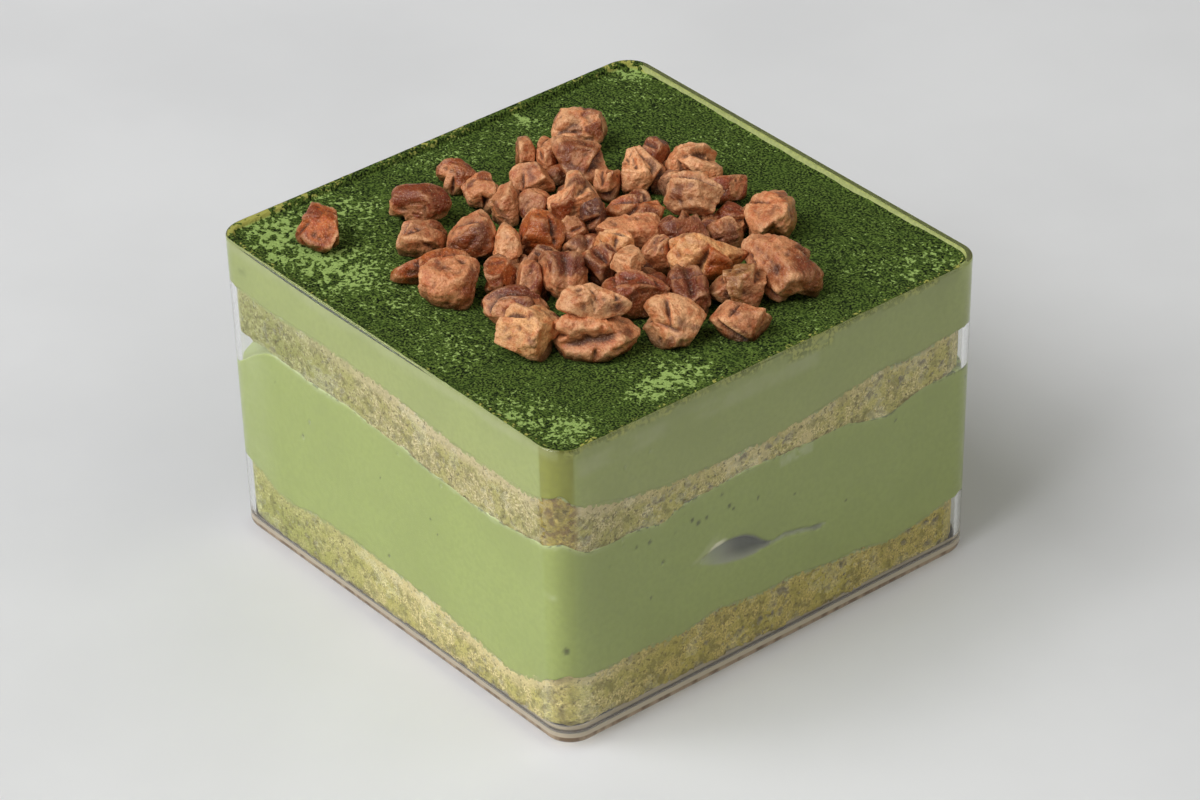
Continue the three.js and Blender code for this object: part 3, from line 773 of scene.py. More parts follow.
def pocket_place(points, stations):
    """How far along the stations a point lies, from 0 to 1, and how far from their middle line,
    in half heights. The heights run smoothly from station to station."""
    x, y, z = np.moveaxis(points, -1, 0)
    place, low, high = np.array(stations).T
    fine = np.linspace(place[0], place[-1], POCKET_STEPS)
    blur = np.hanning(POCKET_BLUR) / np.hanning(POCKET_BLUR).sum()

    def smooth(edge):
        line = np.pad(np.interp(fine, place, edge), POCKET_BLUR // 2, "edge")
        return np.interp(y, fine, np.convolve(line, blur, "valid"))

    low, high = smooth(low), smooth(high)
    across = (z - (low + high) / 2) / np.maximum((high - low) / 2, 0.08)
    along = (y - place[0]) / (place[-1] - place[0])
    return np.where((x > 30) & (along > 0) & (along < 1), along, -1), across


def pocket_recess(points):
    """Depth of the air pocket: a smooth hollow that deepens to the right, and its shallow tail."""
    along, across = pocket_place(points, POCKET)
    hollow = POCKET_DEPTH * ease(np.abs(across), 1.0, 0.3)
    hollow = hollow * ease(along, 0.05, 0.6) * ease(along, 1.0, 0.8)
    along, across = pocket_place(points, POCKET_TAIL)
    tail = TAIL_DEPTH * ease(np.abs(across), 1.0, 0.5) * (along > 0)
    return np.maximum(hollow, tail)


def pocket_looks(points):
    """The air pocket's grey painted reflection, which fades to the left and runs on into its
    tail, the painted shade of its dark right half and of its tail's end, and the painted
    highlight on its upper left edge, with a faint painted glow round it."""
    along, across = pocket_place(points, POCKET)
    body = ease(np.abs(across), 1.1, 0.85)
    film = body * ease(along, 0.0, 0.35) * (0.5 + 0.5 * ease(along, 0.1, 0.5))
    hollow = body * ease(along, 0.4, 0.72) * ease(np.abs(across), 1.05, 0.5)
    # Painted highlight at the upper left edge, with a faint painted glow round it.
    bright = ease(np.hypot((along - 0.34) / 0.15, (across - 1.05) / 0.36), 1.0, 0.3)
    glow = 0.14 * ease(np.hypot((along - 0.2) / 0.25, (across - 1.2) / 1.6), 1.0, 0.3)
    along, across = pocket_place(points, POCKET_TAIL)
    tail = ease(np.abs(across), 1.5, 0.7) * ease(along, 0.0, 0.08) * ease(along, 1.0, 0.93)
    film = np.maximum(film, 0.62 * tail)
    hollow = np.maximum(0.95 * hollow, 0.45 * tail * ease(along, 0.7, 0.85))
    return {"film": film, "hollow": hollow, "bright": np.maximum(bright, glow)}


# Patches on one side: the side, where along it they start and end, their lowest and highest
# height, and how soft their edges are.
PATCHES = {
    "moist_right": (1, 1.5, 7.5, 34.3, 35.7, 0.8),
    "moist_front": (0, 38.5, 40, 27.8, 28.0, 0.9),
    "haze": (1, -38, 8, 50.2, 51.6, 1.6),
    "stain": (1, 3, 11, 52.7, 54.5, 1.3),
    "smudge": (0, -36.8, -36.2, 50.4, 50.6, 1.4),
    "smear": (1, -12, 7, 36.8, 40.0, 2.2),
}


def patch(name, turns, z):
    """1 inside a patch and 0 outside it, with soft edges."""
    side, start, end, low, high, soft = PATCHES[name]
    place = (turns - side) * 2 * HALF - HALF
    across = ease(place, start - soft, start) * ease(place, end + soft, end)
    return across * ease(z, low - soft, low) * ease(z, high + soft, high)


# Pits in the thick cream, painted dark as shade, as (place round the sides, height, reach).
PITS = [(1.002, 18.3, 0.95), (1.3, 32.1, 0.5), (1.315, 31.0, 0.55), (1.335, 31.3, 0.45),
        (1.39, 31.4, 0.5), (1.4, 30.4, 0.4), (1.46, 30.2, 0.35), (1.2, 31.9, 0.5), (0.62, 27.1, 0.3),
        (0.64, 25.2, 0.28), (0.47, 28.4, 0.25), (1.2, 21.5, 0.35), (1.68, 21.5, 0.4), (1.55, 27.5, 0.3)]
# Bubbles: the size of the cells that may hold one, the share that does, its radius in cells and
# a seed, which each sponge has of its own. The dark ones, painted shade, lie on the hollow ones.
SPECKS, DARK_SPECKS = (5.2, 0.35, 0.085, 3), (5.2, 0.4, 0.08, 3)
FROTH, DARK_FROTH = (2.1, 0.3, 0.2, 9), (2.1, 0.4, 0.2, 9)
TOP_SPECKS, DARK_TOP_SPECKS = (4.4, 0.3, 0.09, 31), (4.4, 0.3, 0.08, 31)
SMALL_PORES, LARGE_PORES = (0.95, 0.6, 0.42), (2.1, 0.66, 0.44)

# A layer's columns in each corner and along each side, the roundings of its lower and upper
# edge, and the rows between them.
CREAM_STEPS, SPONGE_STEPS = (16, 268), (36, 270)
MIDDLE_ROWS = (0.1, 0.34, 62)
TOP_ROWS = (0.1, 0.06, 28)
SPONGE_ROWS = (0.4, 0.4, 44)
SHOULDER_RISE = 0.32
SWEEP_DEPTH = 0.05
SPECK_DEPTH = 0.3
TOP_SPECK_DEPTH = 0.25
DIP_CENTRE = 41


def make_middle_cream(material):
    """The thick cream: a lofted side between two boundaries with the corner dip, the air
    pocket and small bubbles. It is pale in a moist line along its upper shoulder, in two
    patches and near the dip, and painted shade darkens its bubbles, its pits and a broken
    crevice line under the sponge. Its front corner carries a faint painted shade, and the air
    pocket a painted reflection, painted shade and a painted highlight."""
    shares, ring, turns = layer_columns(*CREAM_STEPS, 30, INNER_RADIUS)
    lower = height_round("lower_sponge_top", turns)
    lower = lower + 0.3 * ragged(turns, 1.7, 301) + 0.12 * ragged(turns, 0.6, 303)
    top = height_round("upper_sponge_under", turns) + SHOULDER_RISE + 0.1 * ragged(turns, 1.4, 307)
    upper = top - corner_dip(ring[:, 0], ring[:, 1])
    z, inset = side_rows(lower, upper, *MIDDLE_ROWS)

    def recess(points):
        near_top = ease(upper - points[..., 2], 4.5, 0.5)
        specks = highest(bubbles(points, *SPECKS), near_top * bubbles(points, *FROTH))
        sweep = ease(fractal(points * (1, 1, 2.2), 7, 3, 17), 0.25, 0.8)
        return pocket_recess(points) + SPECK_DEPTH * specks + SWEEP_DEPTH * sweep

    points = layer_points(shares, z, inset, INNER_RADIUS, recess)
    z, place = points[..., 2], turns_of(points)
    below = top[None] - z
    clots = fractal(points * (1, 1, 1.6), 5, 3, 23)
    fine = fractal(points, 0.9, 3, 29)
    line = ease(below + 0.25 * fine, 0.85, 0.4)
    front = ease(place, 0.0, 0.02) * ease(place, 1.12, 0.98)
    from_dip = np.hypot(points[..., 0] + DIP_CENTRE, points[..., 1] + DIP_CENTRE)
    near_dip = ease(from_dip, 13, 5) * ease(below, 1, 4)
    pale = highest(line * (0.12 + 0.4 * front) * ease(clots, -0.9, 0.2),
                   0.7 * patch("moist_right", place, z) * ease(fine, -0.6, 0.2),
                   0.45 * patch("moist_front", place, z) * ease(fine, -0.6, 0.3),
                   0.22 * near_dip)
    # Painted shade: dark bubbles and froth, the crevice line under the sponge, and the pits.
    froth = bubbles(points, *DARK_FROTH) * ease(below, 6.0, 1.0) * (place > 1) * (place < 2)
    crevice_shade = ease(below + 0.35 * fine, 0.5, 0.25) * ease(fine + 0.5 * clots, 0.05, 0.3)
    dark = highest(0.8 * bubbles(points, *DARK_SPECKS) * ease(clots, -0.4, 0.1),
                   0.85 * froth * ease(clots, -0.2, 0.2),
                   0.75 * crevice_shade)
    for at, height, reach in PITS:
        away = np.hypot((place - at) * 2 * HALF, z - height) * (1 + 0.3 * fine)
        dark = np.maximum(dark, 0.8 * ease(away, reach, 0.5 * reach))
    # corner is a faint painted shade down the front corner.
    values = {"pale": pale, "dark": dark, "corner": 0.16 * front_column(points)}
    values.update(pocket_looks(points))
    return ring_piece("thick_cream", points, material, "middle_cream", values)


LIP_HEIGHT = 54.9
LIP_START = 0.1
# Where along the wall the back's lip comes up and where it is full, at both of its ends.
LIP_TURNS = ((1.96, 2.05), (3.06, 2.96))


def make_top_cream(material):
    """The top cream: a lofted side up to a thin lip at the wall, with haze and a yellow stain on
    its right, a small smudge and a pale wiped edge under the powder. The lip runs up to the rim
    along the back and only just past the powder's foot on the other sides."""
    shares, _, turns = layer_columns(*CREAM_STEPS, 50, INNER_RADIUS)
    lower = height_round("upper_sponge_top", turns)
    lower = lower + 0.3 * ragged(turns, 1.7, 311) + 0.14 * ragged(turns, 0.6, 315)
    level = height_round("powder_top", turns)
    back = ease(turns, *LIP_TURNS[0]) * ease(turns, *LIP_TURNS[1])
    upper = level + LIP_START + (LIP_HEIGHT - LIP_START - level) * back
    width = 0.08 + back * (0.16 + 0.12 * ragged(turns, 6, 313))
    z, inset = side_rows(lower, upper, *TOP_ROWS)
    z = np.concatenate([z, [upper - 0.02, upper - 0.06, level - 0.3]])
    inset = np.concatenate([inset, [0.5 * width + 0.06, width + 0.06, width + 0.35]])

    def recess(points):
        return TOP_SPECK_DEPTH * bubbles(points, *TOP_SPECKS) * (points[..., 2] < level)

    points = layer_points(shares, z, inset, INNER_RADIUS, recess)
    z, place = points[..., 2], turns_of(points)
    clots = fractal(points * (1, 1, 2), 6, 4, 41)
    ragged_edge = fractal(points * (1, 1, 2), 1.6, 3, 47)
    edge = ease((level[None] - z) + 0.9 * clots, 2.4, 0.2) * (place < 1.0)
    pale = highest(0.45 * patch("haze", place, z) * ease(clots, -0.6, 0.3), 0.4 * edge)
    rim_green = ease(level[None] - z + 0.7 * ragged_edge, 1.0, 0.3) * (place >= 1.01) * (place < 1.9)
    stain = highest(0.8 * patch("stain", place, z) * ease(clots + 0.6 * ragged_edge, -0.5, 0.5),
                    0.75 * rim_green * ease(clots, -0.8, 0.1),
                    0.3 * ease(z - level[None], 0.02, 0.2))
    # Painted shade in the bubbles, and a smudge.
    dark = highest(0.6 * bubbles(points, *DARK_TOP_SPECKS) * ease(clots, -0.3, 0.3),
                   0.35 * patch("smudge", place, z) * ease(ragged_edge, -0.6, 0.4))
    # corner is the painted shade down the front corner.
    values = {"pale": pale, "dark": dark, "stain": stain, "corner": front_column(points)}
    return ring_piece("upper_cream", points, material, "top_cream", values)


# How far a sponge reaches into the cream above it, the depths of its pores and the strength
# of their painted shade on the other sides and on the right, and the depths of its hollows,
# of those low down, and its grain.
CREAM_OVERLAP = 0.8
PORE_DEPTHS = (0.1, 0.26)
PORE_SHADES = (0.55, 0.9)
HOLLOW_DEPTH = 0.1
LOW_HOLLOW = 0.14
GRAIN_DEPTH = 0.08
# Where along the wall the right side comes in and where it is full, at both of its ends.
RIGHT_TURNS = ((1.0, 1.3), (2.05, 1.98))


def right_side(points):
    """1 on the right side and 0 on the others, with soft ends."""
    turns = turns_of(points)
    return ease(turns, *RIGHT_TURNS[0]) * ease(turns, *RIGHT_TURNS[1])


def make_sponge(name, layer, material, seed):
    """A sponge layer, lower or upper: a lofted side that touches the wall in patches and falls
    back from it in pores, hollows and a ragged underside. It reaches a little into the cream
    above it. The pores are deepest on the right, cream is smeared on the upper one's right side,
    and the left side and the left of the front are moist. Painted shade darkens its pores, most
    on the right, a band along its underside, and its front corner."""
    radii = SPONGE_RADII[layer]
    column, dry, golden, others = SPONGE_TONES[layer]
    shares, _, turns = layer_columns(*SPONGE_STEPS, 30, radii)
    under = height_round(layer + "_sponge_under", turns)
    top = height_round(layer + "_sponge_top", turns)
    low_edge = under - 0.12 + 0.25 * ragged(turns, 1.0, seed + 3)
    z, inset = side_rows(low_edge, top + CREAM_OVERLAP, *SPONGE_ROWS)

    def pores(points):
        small = bubbles(points, *SMALL_PORES, seed)
        bent = points + 0.5 * np.stack([noise(points, 0.7, seed + k) for k in (12, 13, 14)], -1)
        large = bubbles(bent, *LARGE_PORES, seed + 11)
        zone = ease(fractal(points, 7, 3, seed + 21), -0.35, 0.2)
        return highest(small * (0.25 + 0.75 * zone), large * (0.3 + 0.7 * zone))

    def recess(points):
        low = ease(points[..., 2] - under, 1.2, 0.3)
        hollow = ease(fractal(points, 4.5 - 2.5 * low.mean(), 3, seed + 31), -0.1, 0.6)
        grain = GRAIN_DEPTH * (fractal(points, 0.7, 2, seed + 41) + 0.5)
        pore = np.interp(right_side(points), (0, 1), PORE_DEPTHS) * pores(points)
        return (HOLLOW_DEPTH + LOW_HOLLOW * low) * hollow + grain + pore

    points = layer_points(shares, z, inset, radii, recess)
    z, place, right = points[..., 2], turns_of(points), right_side(points)
    depth = top[None] - z
    soft = ease(depth + fractal(points, 5, 3, seed + 51), 3.0, 0.8)
    soft = soft * (1 - (0.5 + 0.5 * golden) * right)
    if layer == "upper":
        torn = ease(fractal(points, 3, 3, seed + 81), -0.5, 0.1)
        soft = highest(soft, 0.8 * patch("smear", place, z) * torn)
    underside_shade = ease(z - under[None] + 0.4 * fractal(points, 1.1, 3, seed + 61), 0.9, 0.2)
    # Painted shade in the pores, strongest on the right, and in a band along the underside.
    pore = highest(np.interp(right, (0, 1), PORE_SHADES) * pores(points) * (1 - 0.4 * soft),
                   0.75 * underside_shade * ease(fractal(points, 1.6, 3, seed + 71), -0.1, 0.35))
    moist = ease(place, 0.62, 0.1) + ease(place, 3.0, 3.4)
    # corner is the painted shade down the front corner.
    values = {"pore": pore, "soft": 0.8 * soft * (1 - 0.6 * moist), "top_gap": np.clip(depth, 0, 3),
              "corner": column * front_column(points, 1.4), "moist": moist,
              "dry": dry * right + others * (1 - right), "golden": golden * right}
    return ring_piece(name, points, material, layer + "_sponge", values)


# ---- The powder ----

POWDER_STEPS = 284
POWDER_EDGE_STEPS = 14
POWDER_EDGE = 0.035
POWDER_DEPTH = 0.45
# How far the powder reaches past the wall's inside, over what width it climbs to the rim, how
# high it climbs at the back, and where from the wall its back begins.
RIM_DUST = 0.86
RIM_CLIMB = 0.8
BACK_CLIMB = 0.4
BACK_START = (4, 2.5)
RIM_TOP = 0.03
CLOT_DEPTHS = (0.09, 0.1)
THIN_DEPTH = 0.12
POWDER_MIDDLE = 54.2

# Where the powder is thin and the cream shows: x, y, reach and how strongly.
THIN_PLACES = [
    (-36, -36.5, 7.5, 0.95), (-26, -36, 6, 0.6), (-19, -33.5, 6, 0.5), (-8, -32.5, 5.5, 0.5),
    (5, -34, 7, 0.25), (14, -36, 6, 0.2), (27, -39, 5, 0.45), (33, -38, 5, 0.52), (38.5, -35, 5, 0.5),
    (-31, -22, 8, 0.4), (36.2, -16.5, 4.2, 0.9), (36.5, -21.8, 2.5, 0.5), (37, -11, 2.6, 0.45),
    (37, 34, 6.5, 0.55), (33, 27, 7, 0.25),
    (-37, -20, 6, 0.3), (-37, 0, 8, 0.45), (-34, 12, 6, 0.3), (-39, 16.5, 2.6, 0.75),
    (-31, 34, 8, 0.35), (-39.5, 39.5, 4, 0.7), (-12, 38, 7, 0.25), (38.5, 10, 5, 0.2),
]


def round_square(u, v, half, radius):
    """Moves points of a square in to a rounded square: in each corner the square's rays are
    shortened to the arc."""
    x, y = u * half, v * half
    core = half - radius
    dx, dy = (np.abs(x) - core) / radius, (np.abs(y) - core) / radius
    corner = (dx > 0) & (dy > 0)
    longest, away = np.maximum(dx, dy), np.maximum(np.hypot(dx, dy), 1e-9)
    shrink = np.where(corner, longest / away, 1)
    x = np.where(corner, np.sign(x) * (core + dx * shrink * radius), x)
    y = np.where(corner, np.sign(y) * (core + dy * shrink * radius), y)
    return x, y


def powder_height(x, y):
    """The powder's level: its height at the wall, flattening to its middle's."""
    half = inner_side(HEIGHT) / 2
    share = np.minimum(1, np.maximum(np.abs(x), np.abs(y)) / half)
    return POWDER_MIDDLE + (height_round("powder_top", turns_round(x, y)) - POWDER_MIDDLE) * share**2


def make_powder(material):
    """A rounded square sheet at the powder's level with clots and grains. At the front, left and
    right it climbs the wall and ends raggedly on the rim, and at the back it stops short of the
    cream's lip. A ring at the wall and one below it close it, with a flat underside."""
    wall = inner_side(HEIGHT) / 2
    half, radius = wall + RIM_DUST, INNER_RADIUS + RIM_DUST
    edge = np.linspace(1 - POWDER_EDGE, 1, POWDER_EDGE_STEPS + 1)
    line = np.concatenate([-edge[:0:-1], np.linspace(-edge[0], edge[0], POWDER_STEPS), edge[1:]])
    u, v = np.meshgrid(line, line)
    x, y = round_square(u, v, half, radius)
    flat = np.stack([x, y, 0 * x], -1)
    outer = np.maximum(np.abs(u), np.abs(v))
    back = ease(y, wall - BACK_START[0], wall - BACK_START[1]) * ease(x, 2 - wall, 3.5 - wall)
    wander = 1 + 0.8 * fractal(flat, 1.6, 3, 59)
    pull = ease(outer, 1 - 1.4 * POWDER_EDGE, 1) * (0.12 * wander + back * (RIM_DUST + 0.1))
    x, y = x * (1 - pull / half), y * (1 - pull / half)
    flat = np.stack([x, y, 0 * x], -1)
    inside = half * (1 - outer) - RIM_DUST + pull
    thin = sum(s * np.exp(-((x - a) ** 2 + (y - b) ** 2) / r**2) for a, b, r, s in THIN_PLACES)
    thin = thin + 0.2 * fractal(flat, 8, 3, 19) + 0.16 * fractal(flat, 2.6, 3, 23)
    rim = ease(inside, 0.7, 0.3)
    right, left = ease(x, wall - 2, wall - 1), ease(-x, wall - 2, wall - 1)
    strip = left * ease(y, -27, -35)
    thin = thin + rim * (0.25 * right + 0.2 * left + 0.9 * strip) * (1 + fractal(flat, 3.0, 3, 61))
    clots = CLOT_DEPTHS[0] * fractal(flat, 1.1, 3, 37) + CLOT_DEPTHS[1] * fractal(flat, 3.5, 2, 43)
    relief = (clots - THIN_DEPTH * ease(thin, 0.4, 1.0)) * ease(inside, 0.0, 0.5)
    level = powder_height(x, y) + relief
    goal = HEIGHT + RIM_TOP + 0.5 * RIM_TOP * fractal(flat, 0.8, 2, 67) - level
    climb = np.where(back > 0, BACK_CLIMB * back + goal * (1 - back), goal)
    height = level + climb * ease(inside, RIM_CLIMB, 0.0)
    sheet = np.stack([x, y, height], -1)
    index = np.arange(x.size).reshape(x.shape)
    top = split(index[:-1, :-1], index[:-1, 1:], index[1:, :-1], index[1:, 1:])
    loop = np.concatenate([index[0, :-1], index[:-1, -1], index[-1, :0:-1], index[:0:-1, 0]])
    points, count = sheet.reshape(-1, 3), len(loop)
    inset = RIM_DUST + 0.03 + 0.25 * back.ravel()[loop]
    x, y = round_square(u.ravel()[loop], v.ravel()[loop], half - inset, radius - inset)
    at_wall = np.stack([x, y, np.minimum(points[loop, 2], HEIGHT) - 0.02], -1)
    below = np.stack([x, y, powder_height(x, y) - POWDER_DEPTH], -1)
    middle = np.array([[0, 0, below[:, 2].mean()]])

    def band(upper, lower):
        upper_next, lower_next = np.roll(upper, -1), np.roll(lower, -1)
        return np.concatenate([np.stack([lower, lower_next, upper_next], -1),
                               np.stack([lower, upper_next, upper], -1)])

    first = index.size + np.arange(count)
    second = first + count
    under = np.stack([np.full(count, index.size + 2 * count), np.roll(second, -1), second], -1)
    points = np.concatenate([points, at_wall, below, middle])
    triangles = np.concatenate([top, band(loop, first), band(first, second), under])
    values = {key: np.concatenate([value.ravel(), np.zeros(2 * count + 1)])
              for key, value in (("thin", thin), ("rim", rim))}
    return make_piece("powder_dusting", points, triangles, material, ["green_powder"], values)


# ---- The nuts ----

NUT_RINGS = 64
NUT_COLUMNS = 96
NUT_SINK = 0.4
NUT_SWELL = 1.26
NUT_NOTCHES = 4
NUT_CENTRE_GAP = 0.4
CUT_POWER = -44.0
DEEPEST_CUT = 0.55
# How far out the flat cuts and the notches lie, as shares of the piece's own reach, and how
# wide a notch opens, in degrees.
CUTS, NOTCHES, NOTCH_ANGLES = (0.6, 0.96), (0.42, 0.75), (32, 58)
# Depths of a piece's relief: valleys, ridges, fibres and grain in its flesh, and grooves,
# wrinkles and dents in its skin.
FLESH_RELIEF = (0.3, 0.36, 0.14, 0.08)
SKIN_RELIEF = (0.4, 0.14, 0.25)

TINTS = {
    "tan": rgb(210, 142, 96), "light": rgb(238, 176, 126), "yellow": rgb(234, 174, 116),
    "grey": rgb(188, 134, 100), "olive": rgb(186, 132, 80), "brown": rgb(160, 90, 50),
    "amber": rgb(190, 102, 46), "rust": rgb(156, 76, 40), "mahogany": rgb(132, 64, 36),
    "plum": rgb(108, 64, 52),
}
# The crease colour is painted shade and the crest colour a painted highlight.
CRUST, CREASE_SHADE, CREST_HIGHLIGHT, DUST = rgb(118, 70, 50), rgb(78, 38, 20), rgb(238, 180, 130), rgb(62, 80, 32)

# Directions as the camera sees them.
WAYS = {
    "up": (0, 0, 1), "down": (0, 0, -1), "front": (0.78, -0.63, 0), "left": (-0.64, -0.77, 0),
    "right": (0.64, 0.77, 0), "none": (0, 0, -1),
}

# Each piece's flesh and skin, which way the skin faces, and how much of the piece it covers.
LOOKS = [
    ("amber", "rust", "left", 0.6), ("tan", "brown", "up", 0.55), ("tan", "brown", "right", 0.4),
    ("tan", "rust", "up", 0.45), ("tan", "brown", "right", 0.25), ("amber", "amber", "up", 0.8),
    ("tan", "brown", "right", 0.3), ("tan", "brown", "front", 0.3), ("light", "tan", "none", 0.0),
    ("tan", "brown", "right", 0.2), ("tan", "rust", "front", 0.5), ("tan", "brown", "none", 0.0),
    ("tan", "brown", "left", 0.35), ("tan", "brown", "right", 0.3), ("light", "brown", "right", 0.25),
    ("tan", "brown", "front", 0.35), ("light", "rust", "front", 0.45), ("tan", "rust", "right", 0.5),
    ("light", "brown", "down", 0.3), ("brown", "mahogany", "up", 0.8), ("grey", "brown", "none", 0.0),
    ("light", "brown", "right", 0.2), ("tan", "rust", "front", 0.7), ("tan", "rust", "up", 0.35),
    ("tan", "olive", "right", 0.3), ("tan", "brown", "right", 0.4), ("tan", "amber", "up", 0.6),
    ("tan", "brown", "down", 0.2), ("brown", "mahogany", "up", 0.85), ("tan", "brown", "none", 0.0),
    ("yellow", "amber", "right", 0.4), ("brown", "mahogany", "up", 0.8), ("tan", "olive", "up", 0.75),
    ("tan", "rust", "down", 0.5), ("light", "amber", "down", 0.66), ("brown", "rust", "up", 0.7),
    ("tan", "brown", "none", 0.0), ("brown", "mahogany", "front", 0.7), ("yellow", "tan", "none", 0.0),
    ("tan", "mahogany", "up", 0.4), ("grey", "plum", "up", 0.5), ("amber", "amber", "front", 0.6),
    ("tan", "brown", "right", 0.4), ("grey", "plum", "front", 0.6), ("amber", "rust", "up", 0.75),
    ("tan", "rust", "right", 0.4), ("tan", "mahogany", "up", 0.45), ("yellow", "tan", "none", 0.0),
    ("tan", "rust", "down", 0.25), ("light", "tan", "none", 0.0), ("light", "brown", "down", 0.2),
    ("light", "brown", "none", 0.0),
]


def solid_triangles(node):
    """A solid's triangles as an array of corners, in millimetres."""
    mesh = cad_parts[node].data
    corners = np.empty(len(mesh.vertices) * 3)
    mesh.vertices.foreach_get("co", corners)
    mesh.calc_loop_triangles()
    index = np.empty(len(mesh.loop_triangles) * 3, int)
    mesh.loop_triangles.foreach_get("vertices", index)
    return corners.reshape(-1, 3)[index].reshape(-1, 3, 3) / MM


def ball(rings, columns):
    """Rings round a ball from one end to the other: how far down from the last end and how far
    round each point is, in radians, and its direction, the ends on Z."""
    polar = (np.arange(rings) + 0.5) / rings * math.pi
    around = np.arange(columns) / columns * 2 * math.pi
    polar, around = np.meshgrid(math.pi - polar, around, indexing="ij")
    sine = np.sin(polar)
    return polar, around, np.stack([sine * np.cos(around), sine * np.sin(around), np.cos(polar)], -1)


def ray_reach(triangles, ways):
    """How far each direction goes from the origin to the outermost triangle that it meets."""
    a, ab, ac = triangles[:, 0], triangles[:, 1] - triangles[:, 0], triangles[:, 2] - triangles[:, 0]
    normal = np.cross(ab, ac)
    facing = ways @ normal.T
    facing = np.where(np.abs(facing) < 1e-9, 1e-9, facing)
    reach = np.einsum("ij,ij->i", a, normal)[None] / facing
    v = ways @ np.cross(a, ac).T / -facing
    w = ways @ np.cross(ab, a).T / -facing
    slack = -0.02
    hit = (v > slack) & (w > slack) & (v + w < 1 - slack) & (reach > 0)
    return np.where(hit, reach, 0).max(1)


def blur_rings(values, times):
    """Averages each value with its neighbours round and between the rings."""
    for _ in range(times):
        padded = np.concatenate([values[:1], values, values[-1:]])
        values = 0.25 * (padded[:-2] + padded[2:]) + 0.5 * values
        values = 0.25 * (np.roll(values, 1, 1) + np.roll(values, -1, 1)) + 0.5 * values
    return values


def main_axes(triangles):
    """The three main directions of a solid's corners, the longest first."""
    corners = triangles.reshape(-1, 3)
    _, axes = np.linalg.eigh(np.cov((corners - corners.mean(0)).T))
    axes = axes[:, ::-1].T
    axes[2] = np.cross(axes[0], axes[1])
    return axes


def unit(vector):
    return vector / np.linalg.norm(vector)


def plane_reach(ways, plane, far):
    """How far each direction goes before it meets a plane that is far along its own normal."""
    return far / np.maximum(ways @ plane, 0.03)


def broken(ways, reach, rng, notches=NUT_NOTCHES):
    """A broken form: three pairs of nearly square planes cut it flat, and pairs of planes that
    meet inside it cut notches. The shortest of all reaches wins, with hardly rounded edges, but
    no cut goes deeper than a share of the body."""
    body = ways * reach[..., None]
    total = reach**CUT_POWER
    square, _ = np.linalg.qr(rng.normal(size=(3, 3)))
    for plane in np.concatenate([square, -square]) + 0.22 * rng.normal(size=(6, 3)):
        plane = unit(plane)
        far = (body @ plane).max() * rng.uniform(*CUTS)
        total = total + plane_reach(ways, plane, far) ** CUT_POWER
    for _ in range(notches):
        middle = unit(rng.normal(size=3))
        side = unit(np.cross(middle, rng.normal(size=3)))
        spread = math.radians(rng.uniform(*NOTCH_ANGLES))
        far = math.cos(spread) * (body @ middle).max() * rng.uniform(*NOTCHES)
        pair = [plane_reach(ways, math.cos(spread) * middle + sign * math.sin(spread) * side, far)
                for sign in (-1, 1)]
        total = total + np.maximum(*pair) ** CUT_POWER
    return np.maximum(total ** (1 / CUT_POWER), DEEPEST_CUT * reach)


def crumbled(body, axes, seed):
    """Relief of broken flesh and its mottle: sharp valleys about 2.4 mm apart, finer sharp
    ridges, fibres along the piece, and grain."""
    sway = 0.4 * np.stack([noise(body, 1.4, seed + k) for k in (40, 50, 60)], -1)
    valleys = np.abs(noise(body + sway, 2.4, seed)) - 0.3
    ridges = 0.3 - np.abs(noise(body + sway, 1.15, seed + 10))
    fibres = fractal((body @ axes.T) * (0.3, 1, 1), 0.9, 3, seed + 20)
    grain = fractal(body, 0.5, 2, seed + 30)
    mottle = fractal(body + sway, 2.2, 3, seed + 35)
    relief = sum(depth * part for depth, part in zip(FLESH_RELIEF, (valleys, ridges, fibres, grain)))
    return relief, mottle


def wrinkled(body, axes, around, thickness, seed, phase):
    """Relief of skin: grooves that wander along the piece, fine wrinkles and shallow dents."""
    sway = 2.2 * noise(body, 3.0, seed)
    groove = (np.abs(np.sin(2.5 * around + sway + phase)) ** 0.6 - 0.7) * thickness
    along = (body @ axes.T) * (0.22, 1, 1)
    wrinkle = fractal(along, 0.55, 3, seed + 10)
    dents = fractal(body, 2.2, 2, seed + 20)
    return sum(depth * part for depth, part in zip(SKIN_RELIEF, (groove, wrinkle, dents)))


def over(tint, colour, share):
    """The tint with a colour laid over it by a share at each point."""
    return tint + (np.array(colour) - tint) * share[..., None]


def nut_tint(flesh, skin, cover, mottle, curve, body, tone, seed):
    """A piece's colours at its points: mottled flesh, the skin's colour where it covers, painted
    shade in the creases, a painted highlight on the sharp edges and brown in a few crusted patches."""
    tint = np.array(flesh) * (tone * (1 + 0.26 * mottle))[..., None]
    freckle = 0.9 + 0.2 * fractal(body, 0.6, 2, seed + 3)
    tint = over(tint, np.array(skin) * (tone * freckle)[..., None], cover)
    tint = over(tint, CRUST, 0.7 * ease(fractal(body, 3.4, 3, seed + 7), 0.3, 0.5))
    tint = over(tint, CREASE_SHADE, 0.9 * ease(curve, -0.04, -0.24))
    return over(tint, CREST_HIGHLIGHT, 0.8 * ease(curve, 0.04, 0.2) * (1 - 0.5 * cover))


def dusted_and_shaded(points, body, tint, reach, seed):
    """Green powder that clings to the foot of a piece, fading out at reach above the powder, and
    painted shade that darkens the piece near the powder."""
    above = points[..., 2] - powder_height(points[..., 0], points[..., 1])
    tint = over(tint, DUST, 0.6 * ease(above + 0.3 * fractal(body, 0.9, 2, seed), reach, 0.0))
    # Painted shade: darker near the powder.
    return tint * (1 - 0.6 * ease(above, 2.8, 0.2))[..., None]


